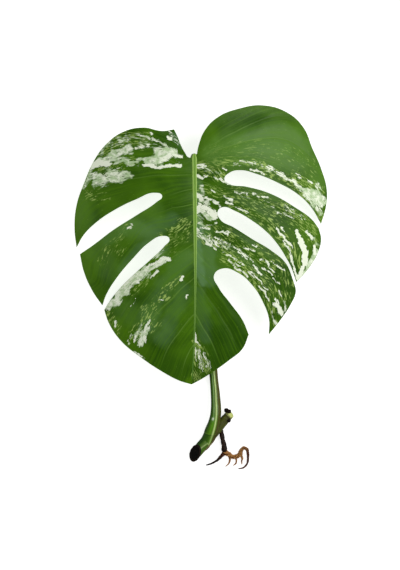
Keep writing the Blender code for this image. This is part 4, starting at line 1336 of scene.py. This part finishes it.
def stem_knots():
    """From beyond the old cut, through the node, to beyond the young cut."""
    # Distance from the node in millimetres, lift over resting on the table, and radius.
    line = (
        (-27.0, 9.4, 0.97 * STEM_RADIUS),
        (-16.9, 5.2, 0.98 * STEM_RADIUS),
        (-8.0, 2.0, STEM_RADIUS),
        (1.0, 0.3, STEM_RADIUS),
        (17.0, 0.0, STEM_MID_RADIUS),
        (30.0, 0.0, STEM_END_RADIUS),
        (40.0, 0.0, STEM_END_RADIUS),
    )
    return [
        (NODE + along * MM * STEM_HEADING + Vector((0, 0, radius + lift * MM)), radius)
        for along, lift, radius in line
    ]


def trim_to_cuts(run, rings, cuts, rows):
    """The rings drawn in lengthwise so that they end exactly on the two cut planes."""
    stops = []
    for point, normal in cuts:
        beyond = (rings - np.array(point)) @ np.array(normal)
        rising = -beyond if (beyond[0] > 0).all() else beyond
        stops.append(np.array([np.interp(0, side, run.share) for side in rising.T]))
    spread = np.linspace(0, 1, rows)[:, None]
    share = stops[0] + (stops[1] - stops[0]) * spread
    made = np.zeros((rows, rings.shape[1], 3))
    for k in range(rings.shape[1]):
        for axis in range(3):
            made[:, k, axis] = np.interp(share[:, k], run.share, rings[:, k, axis])
    return made


def cut_face(rings, normal, steps=7, sunk=0.25 * MM):
    """Rings that close the last one with a cut face: a tiny rounded edge, then a flat face."""
    centre = rings[-1].mean(axis=0)
    made = []
    for step in range(1, steps + 1):
        narrow = 1 - step / (steps + 0.3)
        dip = -sunk * (1 - narrow)
        edge = 0.96 if step == 1 else 1.0
        made.append(centre + (rings[-1] - centre) * narrow * edge + normal * (0.12 * MM + dip))
    return np.concatenate((rings, np.array(made)))


def stem_ridge(along):
    """The angle round the stem at which the ridge of its lower part stands."""
    return np.radians(np.interp(along, (-17, -9, -2), (4, 8, 30)))


def make_stem(settings):
    """The short stem, trimmed at an oblique old cut and a square young one."""
    run = Run(stem_knots(), STEM_PLACES)
    angles = ring_angles(56)
    turn = angles[None, :]
    along = ((run.places - np.array(NODE)) @ np.array(STEM_HEADING) / MM)[:, None]
    lower = step_up(-along, 1, 4)
    girth = 1 + 0.02 * wobble(run.rings(turn), 6 * MM, 5.0)
    girth += 0.04 * hump(along, -2.0, 0.8) + 0.03 * hump(along, 26.5, 0.9)
    girth -= 0.035 * step_up(along, 4, 24) * (0.5 + 0.5 * np.sin(6 * turn))
    girth += 0.03 * hump(turn, stem_ridge(along), 0.11) * lower
    corky = hump(turn, 1.22, 0.30) * lower
    girth += corky * (0.05 + 0.05 * wobble(run.rings(turn), 1.6 * MM, 8.0))
    cuts = ((OLD_CUT_POINT, OLD_CUT_NORMAL), (YOUNG_CUT_POINT, YOUNG_CUT_NORMAL))
    rings = trim_to_cuts(run, run.rings(turn, girth), cuts, 240)
    faced = cut_face(rings, np.array(YOUNG_CUT_NORMAL))
    closed = cut_face(faced[::-1], np.array(OLD_CUT_NORMAL))[::-1]
    ends = len(faced) - len(rings)

    place = (rings - np.array(NODE)) @ np.array(STEM_HEADING) / MM
    low = step_up(-place, -1, 3)
    left = step_up(-turn, -0.2, 0.9)
    # The lower part's green, with painted shade on its left side, most of all near the node.
    base = tinted(paint(66, 104, 16), paint(32, 66, 6), left * step_up(place, -20, -2) + 0.5 * left)
    blotch = step_up(wobble(rings, 2.6 * MM, 2.0), -0.1, 0.25) * step_up(place, 19, 25)
    cork = hump(turn, 1.22, 0.26) * low * (0.65 + 0.5 * wobble(rings, 2.2 * MM, 4.0))
    tint = layered(
        np.broadcast_to(np.asarray(settings.stem), (*place.shape, 3)),
        (paint(54, 52, 18), 0.5 + 0.5 * wobble(rings, 5 * MM, 9.0)),
        # the green lower part, darker on its left with painted shade, and its ridge
        (base, low),
        # the ridge line: partly pale, dry skin and partly a painted highlight along it
        (settings.ridge, hump(turn, stem_ridge(place), 0.08) * low * 0.6),
        (paint(96, 128, 40), hump(turn, -0.1, 0.2) * low * 0.4),
        # the brown-blotched upper part
        (paint(38, 24, 12), blotch * step_up(-turn, -0.3, 0.4) * 0.9),
        (paint(110, 118, 46), hump(turn, -0.5, 0.22) * (1 - low) * 0.5),
        (settings.bark, cork),
        # the young cut's edge
        (paint(40, 30, 16), hump(place, 30.2, 1.2) * 0.8),
        (settings.cut, step_up(place, 29.5, 31.5) * 0.55),
    )
    # The cut has browned from its edge inwards, most of all on the left.
    browned = np.interp(np.arange(ends), (0, 1, 2), (0.9, 0.6, 0.0))[:, None]
    browned = browned * (0.25 + 0.75 * step_up(-turn, -0.6, 0.6))
    face = np.broadcast_to(np.asarray(settings.cut), (ends, len(angles), 3))
    face = tinted(face, paint(70, 58, 20), browned)
    tint = np.concatenate((np.repeat(tint[:1], ends, axis=0), tint, face))
    return wrap("monstera_stem", closed, tint)


class MONSTERA_OT_midrib(bpy.types.Operator):
    """Make the pale rib that runs down the middle of the blade"""

    bl_idname = "monstera.midrib"
    bl_label = "Midrib"
    bl_options = {"REGISTER", "UNDO"}

    def execute(self, context):
        rib = make_midrib(context.scene.monstera_stalk)
        finish_piece(rib, stalk_finish("Rib skin", 0.42, 0.10, 0.10), "rib", "midrib")
        return {"FINISHED"}


class MONSTERA_OT_petiole(bpy.types.Operator):
    """Make the leaf's long stalk, with its knee and its clasping base"""

    bl_idname = "monstera.petiole"
    bl_label = "Petiole"
    bl_options = {"REGISTER", "UNDO"}

    def execute(self, context):
        petiole = make_petiole(context.scene.monstera_stalk)
        finish_piece(petiole, stalk_finish("Petiole skin", 0.34, 0.14, 0.06, 0.15), "stalk", "petiole")
        return {"FINISHED"}


class MONSTERA_OT_stem(bpy.types.Operator):
    """Make the short length of stem between its two cuts"""

    bl_idname = "monstera.stem"
    bl_label = "Stem"
    bl_options = {"REGISTER", "UNDO"}

    def execute(self, context):
        stem = make_stem(context.scene.monstera_stalk)
        finish_piece(stem, stalk_finish("Stem skin", 0.46, 0.22, 0.16), "stem", "stem")
        return {"FINISHED"}


# ---------------------------------------------------------------- dried tissue

def dry_finish(name, dark, worn, roughness, scale=420.0, depth=0.5, scuff=0.7):
    """Dried, wrinkled tissue: dark in its folds and worn paler where it stands out."""
    make = Finish(name, Coat_Weight=0.04, Coat_Roughness=0.35, Specular_IOR_Level=0.16)
    place = make.add("TexCoord", {}, "Object")
    tint = make.read("tint")
    crust = make.grain(place, scale, 5, 0.68, 0.6)
    fine = make.grain(place, scale * 4, 3, 0.6)
    folds = make.between(crust, 0.34, 0.62)
    tone = make.blend(folds, rgba(dark), (1, 1, 1, 1))
    colour = make.blend(0.85, tint, tone, "MULTIPLY")
    scuffs = make.between(make.times(crust, fine), 0.33, 0.46, 0.0, scuff)
    colour = make.blend(scuffs, colour, rgba(worn))
    make.set("Base Color", colour)
    make.set("Roughness", make.between(fine, 0.3, 0.7, roughness - 0.08, roughness + 0.12))
    height = make.plus(make.times(crust, 0.75), make.times(fine, 0.25))
    make.set("Normal", make.bump(height, depth, 1.0 * MM))
    return make.material


def old_cut_ring(angles, outside):
    """The old cut's edge, this far outside the stem: one point for each angle round the stem."""
    run = Run(stem_knots(), STEM_PLACES)
    sides = run.rings(angles[None, :], 1 + outside / run.radii[:, None])
    beyond = (sides - np.array(OLD_CUT_POINT)) @ np.array(OLD_CUT_NORMAL)
    found = np.zeros((len(angles), 3))
    for k in range(len(angles)):
        share = np.interp(0, -beyond[:, k], run.share)
        for axis in range(3):
            found[k, axis] = np.interp(share, run.share, sides[:, k, axis])
    return found


def make_dried_cut(settings):
    """The black layer over the old cut: a thick, rolled rim round a sunken, cracked face."""
    around = 72
    ring = old_cut_ring(ring_angles(around), 0.25 * MM)
    centre = ring.mean(axis=0)
    normal = np.array(OLD_CUT_NORMAL)
    profile = (
        # share of the rim's reach, height over the cut in millimetres
        (0.10, -0.4), (0.60, -0.5), (0.94, -0.5), (1.00, -0.35), (1.03, 0.0), (1.05, 0.5),
        (1.05, 1.0), (1.03, 1.45), (0.985, 1.8), (0.93, 1.95), (0.88, 1.9), (0.83, 1.7),
        (0.78, 1.45), (0.72, 1.3), (0.62, 1.2), (0.52, 1.25), (0.40, 1.3), (0.28, 1.25),
        (0.16, 1.2), (0.05, 1.2),
    )
    rings = np.array(
        [centre + (ring - centre) * reach + normal * height * MM for reach, height in profile]
    )
    lumps = wobble(rings, 2.4 * MM, 6.0, 4)
    outward = unit(rings - centre)
    reach = np.array([share for share, _ in profile])[:, None]
    rings = rings + outward * (lumps * 0.28 * MM * step_up(reach, 0.7, 1.0))[..., None]
    rings = rings + normal * (lumps * 0.30 * MM * (reach < 1.02))[..., None]
    colours = np.broadcast_to(np.asarray(settings.black), (len(profile), around, 3))
    colours = tinted(colours, settings.brown, hump(reach, 0.93, 0.06) * 0.5)
    return wrap("monstera_dried_cut", rings, colours)


def make_knob(name, centre, size, lean, seed, colours):
    """A dried bud or scale: a rounded lump, drawn in at its end and shrivelled into folds."""
    bpy.ops.object.select_all(action="DESELECT")
    bpy.ops.mesh.primitive_ico_sphere_add(subdivisions=5, radius=0.5)
    knob = bpy.context.object
    knob.name = name
    knob.data.name = name
    dark, worn = colours
    tints = []
    for point in knob.data.vertices:
        start = point.co.copy()
        narrow = 1.0 - 0.7 * max(start.z, 0.0)
        shift = Vector((seed, seed * 2, seed * 3))
        lump = 0.16 * noise.noise(start * 3.2 + shift)
        fold = abs(noise.noise(start * 7.5 + shift)) - 0.2
        grown = 1.0 + lump + 0.14 * fold
        shape = Vector((start.x * narrow * size[0], start.y * narrow * size[1], start.z * size[2]))
        shape.rotate(lean)
        point.co = centre + shape * grown * MM
        share = min(max(fold * 2.2, 0.0), 1.0)
        tints.extend((*(d * (1 - share) + w * share for d, w in zip(dark, worn)), 1.0))
    tint = knob.data.attributes.new("tint", "FLOAT_COLOR", "POINT")
    tint.data.foreach_set("color", tints)
    bpy.ops.object.shade_smooth_by_angle(angle=math.radians(60))
    return knob


def on_stem(along, around, lift):
    """A point `lift` mm outside the stem's side, `along` mm from the node, `around` degrees."""
    run = Run(stem_knots(), STEM_PLACES)
    places = (run.places - np.array(NODE)) @ np.array(STEM_HEADING) / MM
    centre, right, up = (
        np.array([np.interp(along, places, values[:, axis]) for axis in range(3)])
        for values in (run.places, run.rights, run.ups)
    )
    radius = np.interp(along, places, run.radii)
    turn = math.radians(around)
    return Vector(centre + (radius + lift * MM) * (math.cos(turn) * up + math.sin(turn) * right))


def make_sheath():
    """The dry edge of the old sheath: a thin, torn ridge along the lower stem."""
    # Millimetres from the node, degrees round the stem, lift off it and radius in millimetres.
    ridge = (
        (4.5, 74, 0.0, 0.5), (1.0, 70, 0.1, 0.9), (-3.0, 67, 0.15, 0.9), (-6.0, 66, 0.2, 1.15),
        (-8.0, 66, 0.3, 1.0), (-10.5, 66, 0.1, 0.7), (-13.2, 67, 0.0, 0.45),
    )
    knots = [(on_stem(along, around, lift), radius * MM) for along, around, lift, radius in ridge]
    run = Run(knots, 150)
    turn = ring_angles(24)[None, :]
    girth = 1 + 0.22 * wobble(run.rings(turn), 1.5 * MM, 12.0, 4)
    rings = close_both_ends(run, run.rings(turn, girth), 0.4 * MM)
    share = 0.5 + 0.6 * wobble(rings, 2.0 * MM, 3.0)
    colours = tinted(paint(60, 48, 24), paint(150, 138, 96), share)
    return wrap("monstera_dry_sheath", rings, colours)


class MONSTERA_OT_dried(bpy.types.Operator):
    """Make the sealed old cut, the dead bud, the two scales and the dry sheath"""

    bl_idname = "monstera.dried"
    bl_label = "Dried Growths"
    bl_options = {"REGISTER", "UNDO"}

    def execute(self, context):
        settings = context.scene.monstera_dry
        crust = dry_finish("Blackened crust", (0.25, 0.22, 0.2), settings.brown, 0.62, scuff=0.3)
        finish_piece(make_dried_cut(settings), crust, "dried", "dried_cut")
        black = (tuple(settings.black), tuple(settings.brown))
        # Name, millimetres from the node, degrees round the stem, lift, size, lean and seed.
        knobs = (
            ("dead_bud", 33.4, -72, 0.9, (4.8, 4.6, 5.4), (0.3, -0.4, 0.0), 1.3),
            ("upper_scale", 34.6, -26, 1.0, (4.3, 4.0, 3.4), (0.2, 0.4, 0.3), 4.1),
            ("lower_scale", 27.6, 44, 0.4, (3.8, 3.5, 3.8), (1.2, 0.3, 0.2), 6.7),
        )
        for name, along, around, lift, size, lean, seed in knobs:
            place = on_stem(along, around, lift)
            knob = make_knob("monstera_" + name, place, size, Euler(lean), seed, black)
            finish_piece(knob, crust, "dried", name)
        paper = dry_finish("Papery sheath", (0.5, 0.46, 0.4), paint(186, 176, 138), 0.7, 700, 0.4)
        finish_piece(make_sheath(), paper, "sheath", "dry_sheath")
        return {"FINISHED"}


# ---------------------------------------------------------------- roots

# Each root's line: right of the node, up from it, and lift over resting on the table.
AERIAL_ROOT = ((11, 15.5, 2.2), (12.8, 11.4, 0.6), (13.5, 5.6, 0.1), (14.8, -0.6, 0.4),
               (16.0, -6.4, 0.2), (16.5, -12.2, 0.0))
LEFT_ROOT = ((16.5, -11.4, 0), (15.6, -14.6, 0.2), (12.8, -17.8, 0), (9.6, -21, 0.3),
             (4.4, -24.2, 0), (-1.5, -26.2, 0.2))
RIGHT_ROOT = ((16.5, -12.4, 0), (20.5, -15.2, 0.5), (24.8, -17.6, 1.0), (29.0, -17.0, 1.3),
              (33.0, -14.8, 2.0))
ARCH_ROOT = ((32.2, -15.2, 1.8), (33.0, -11.0, 4.4), (35.4, -8.4, 5.8), (38.4, -9.8, 5.5),
             (39.6, -14.2, 3.5), (39.8, -19.4, 1.2), (39.0, -24.6, 0.2), (35.6, -28.6, 0.0),
             (30.5, -29.8, 0.0))
ROOTLETS = (
    ((21.5, -17, 0.6), (21.9, -20.6, 0.4), (20.8, -24.5, 0.3), (17.8, -27.4, 0.2)),
    ((27.2, -18.2, 1.0), (28.4, -21.4, 0.6), (27.8, -24.4, 0.2), (25.2, -26.6, 0.1)),
    ((33.2, -17, 1.5), (34.2, -19.8, 1.0), (33.6, -22.4, 0.4), (33.9, -25.4, 0.1)),
)


def root_knots(offsets, radius, end_radius):
    """Knots along a root's line, with its radius changing evenly from end to end."""
    knots = []
    for step, (x, y, height) in enumerate(offsets):
        share = step / (len(offsets) - 1)
        girth = radius + (end_radius - radius) * share
        knots.append((NODE + Vector((x * MM, y * MM, girth + height * MM - BASE.z)), girth))
    return knots


def make_root(name, knots, count, seed, fold, lump, colours, twist=0.0, start=None):
    """A root with lengthwise folds that wind round it, and swellings along it.

    Its colours are its body's, its raised folds' and its tip's; start tints its first third.
    """
    run = Run(knots, count)
    turn = ring_angles(36)[None, :]
    along = (run.along / MM)[:, None]
    whole = run.rings(turn)
    wound = turn + twist * along
    folds = np.sin(3 * wound + 1.2 * np.sin(along * 0.7 + seed)) * 0.6
    folds += np.sin(5 * wound - along * 0.5 + seed) * 0.4
    swell = wobble(run.places, 3.0 * MM, seed)[:, None]
    crease = wobble(whole, 1.1 * MM, seed + 3, 3)
    girth = 1 + fold * folds + lump * swell + 0.14 * crease
    rings = close_both_ends(run, run.rings(turn, np.maximum(girth, 0.5)), 0.5 * run.radii[-1])
    tint = tinted(colours[0], colours[1], 0.5 + 0.45 * folds + 0.5 * crease)
    if start:
        first = step_up(-run.share[:, None], -0.42, -0.16) * np.ones_like(turn)
        tint = tinted(tint, start, first * (0.55 + 0.45 * crease))
    ends = step_up(run.share[:, None], 0.7, 1.0) * np.ones_like(turn)
    tint = tinted(tint, colours[2], ends * 0.4)
    return wrap(name, rings, over_ends(tint, rings))


class MONSTERA_OT_roots(bpy.types.Operator):
    """Make the black aerial root and the brown roots that branch from it"""

    bl_idname = "monstera.roots"
    bl_label = "Roots"
    bl_options = {"REGISTER", "UNDO"}

    def execute(self, context):
        settings = context.scene.monstera_dry
        black, brown, tan, red, pale = (
            tuple(getattr(settings, name)) for name in ("black", "brown", "tan", "red_brown", "pale")
        )
        crust = dry_finish("Black root skin", (0.3, 0.28, 0.26), brown, 0.45, 520, 0.6, scuff=0.25)
        skin = dry_finish("Brown root skin", (0.42, 0.34, 0.28), pale, 0.5, 650, 0.5)
        soil = SOIL_ROOT_RADIUS
        aerial = root_knots(AERIAL_ROOT, AERIAL_ROOT_RADIUS, AERIAL_ROOT_RADIUS * 1.45)
        left = root_knots(LEFT_ROOT, soil, soil * 0.25)
        right = root_knots(RIGHT_ROOT, soil, soil)
        arch = root_knots(ARCH_ROOT, soil, soil * 0.25)
        dark, light, reddish = (black, brown, black), (red, tan, tan), (brown, red, red)
        # Name, line, rings, seed, fold, lump, colours, twist, first third, slot and skin.
        roots = (
            ("aerial_root", aerial, 320, 1.0, 0.06, 0.22, dark, 0.02, None, "dried", crust),
            ("left_root", left, 220, 2.0, 0.10, 0.20, dark, 0.2, red, "root", crust),
            ("right_root", right, 220, 3.0, 0.20, 0.20, light, 0.35, None, "root", skin),
            ("arch_root", arch, 320, 4.0, 0.10, 0.16, reddish, 0.15, tan, "root", skin),
        )
        for name, knots, count, seed, fold, lump, colours, twist, start, slot, finish in roots:
            root = make_root("monstera_" + name, knots, count, seed, fold, lump, colours, twist, start)
            finish_piece(root, finish, slot, name)
        for number, offsets in enumerate(ROOTLETS, start=1):
            knots = root_knots(offsets, soil * 0.55, soil * 0.2)
            name = f"rootlet_{number}"
            colours = (red, tan, pale)
            rootlet = make_root("monstera_" + name, knots, 110, 5.0 + number, 0.08, 0.2, colours, 0.3)
            finish_piece(rootlet, skin, "root", name)
        return {"FINISHED"}


# ---------------------------------------------------------------- the stage

# The camera's sensor in millimetres, and the height at which the view is as tall as it is set.
SENSOR_WIDTH = 36
LEAF_LEVEL = 0.03


def soft_box(name, place, aim, size, power, colour):
    """A soft box light that faces its aim."""
    bpy.ops.object.light_add(type="AREA", location=place)
    lamp = bpy.context.object
    lamp.name = name
    lamp.data.shape = "RECTANGLE"
    lamp.data.size, lamp.data.size_y = size
    lamp.data.energy = power
    lamp.data.color = colour
    lamp.rotation_euler = (Vector(aim) - Vector(place)).to_track_quat("-Z", "Y").to_euler()
    return lamp


class MONSTERA_OT_stage(bpy.types.Operator):
    """Set up the pale table, the soft lights and the camera straight above"""

    bl_idname = "monstera.stage"
    bl_label = "Stage"
    bl_options = {"REGISTER", "UNDO"}

    def execute(self, context):
        settings = context.scene.monstera_stage
        bpy.ops.object.select_all(action="DESELECT")
        bpy.ops.mesh.primitive_plane_add(size=8, location=(0, 0, 0))
        table = context.object
        table.name = "table"
        make = Finish(
            "Pale table",
            Roughness=0.85,
            Specular_IOR_Level=0.2,
            Emission_Color=(1.0, 1.0, 1.0, 1.0),
            Emission_Strength=settings.table_glow,
        )
        place = make.add("TexCoord", {}, "Object")
        haze = make.grain(place, 3, 2, 0.5)
        low = tuple(c * 0.985 for c in settings.table)
        make.set("Base Color", make.blend(haze, rgba(low), rgba(settings.table)))
        table.data.materials.append(make.material)
        table.visible_glossy = False

        aim = (BASE.x, BASE.y - 0.10, 0.02)
        warm, neutral = (1.0, 0.99, 0.97), (1.0, 1.0, 0.98)
        right, left = (0.95, 0.35, 1.05), (-1.0, 0.1, 1.0)
        soft_box("right_soft_box", right, aim, (0.9, 1.2), settings.side_light, warm)
        fill = soft_box("left_soft_box", left, aim, (0.7, 1.2), settings.fill_light, neutral)
        fill.visible_glossy = False
        world = bpy.data.worlds.new("Even light")
        world.use_nodes = True
        sky = world.node_tree.nodes["Background"]
        sky.inputs["Color"].default_value = (1.0, 1.0, 1.0, 1.0)
        nodes = world.node_tree.nodes
        ray = nodes.new("ShaderNodeLightPath")
        strength = nodes.new("ShaderNodeMapRange")
        strength.inputs["To Min"].default_value = settings.sky
        strength.inputs["To Max"].default_value = 1.0
        world.node_tree.links.new(ray.outputs["Is Camera Ray"], strength.inputs["Value"])
        world.node_tree.links.new(strength.outputs["Result"], sky.inputs["Strength"])
        context.scene.world = world

        away = settings.view_height * settings.lens / SENSOR_WIDTH
        centre = BASE + Vector((settings.view_right, -settings.view_down, 0))
        bpy.ops.object.camera_add(location=(centre.x, centre.y, away + LEAF_LEVEL))
        camera = context.object
        camera.data.lens = settings.lens
        camera.data.sensor_width = SENSOR_WIDTH
        camera.data.clip_end = 20
        context.scene.camera = camera
        context.scene.view_settings.view_transform = "Standard"
        return {"FINISHED"}


class MONSTERA_PT_panel(bpy.types.Panel):
    """Lists the pieces of the cutting, and their sizes and colours"""

    bl_idname = "MONSTERA_PT_panel"
    bl_label = "Monstera Cutting"
    bl_space_type = "VIEW_3D"
    bl_region_type = "UI"
    bl_category = "Monstera"

    def draw(self, context):
        layout = self.layout
        groups = (
            ("monstera_blade", ("monstera.blade",)),
            ("monstera_stalk", ("monstera.midrib", "monstera.petiole", "monstera.stem")),
            ("monstera_dry", ("monstera.dried", "monstera.roots")),
            ("monstera_stage", ("monstera.stage",)),
        )
        for group, operators in groups:
            box = layout.box()
            settings = getattr(context.scene, group)
            for setting in settings.bl_rna.properties:
                if not setting.is_readonly and setting.identifier != "name":
                    box.prop(settings, setting.identifier)
            for operator in operators:
                box.operator(operator)


CLASSES = (
    BladeSettings,
    StalkSettings,
    DrySettings,
    StageSettings,
    MONSTERA_OT_blade,
    MONSTERA_OT_midrib,
    MONSTERA_OT_petiole,
    MONSTERA_OT_stem,
    MONSTERA_OT_dried,
    MONSTERA_OT_roots,
    MONSTERA_OT_stage,
    MONSTERA_PT_panel,
)
SETTINGS = {
    "monstera_blade": BladeSettings,
    "monstera_stalk": StalkSettings,
    "monstera_dry": DrySettings,
    "monstera_stage": StageSettings,
}


def register():
    """Adds the panel, its tools and the settings that they read."""
    for made in CLASSES:
        bpy.utils.register_class(made)
    for name, group in SETTINGS.items():
        setattr(bpy.types.Scene, name, PointerProperty(type=group))


def unregister():
    """Takes away what register added, in the opposite order."""
    for name in SETTINGS:
        delattr(bpy.types.Scene, name)
    for made in reversed(CLASSES):
        bpy.utils.unregister_class(made)


def main():
    """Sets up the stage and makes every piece."""
    register()
    bpy.ops.monstera.stage()
    bpy.ops.monstera.blade()
    bpy.ops.monstera.midrib()
    bpy.ops.monstera.petiole()
    bpy.ops.monstera.stem()
    bpy.ops.monstera.dried()
    bpy.ops.monstera.roots()


if __name__ == "__main__":
    main()
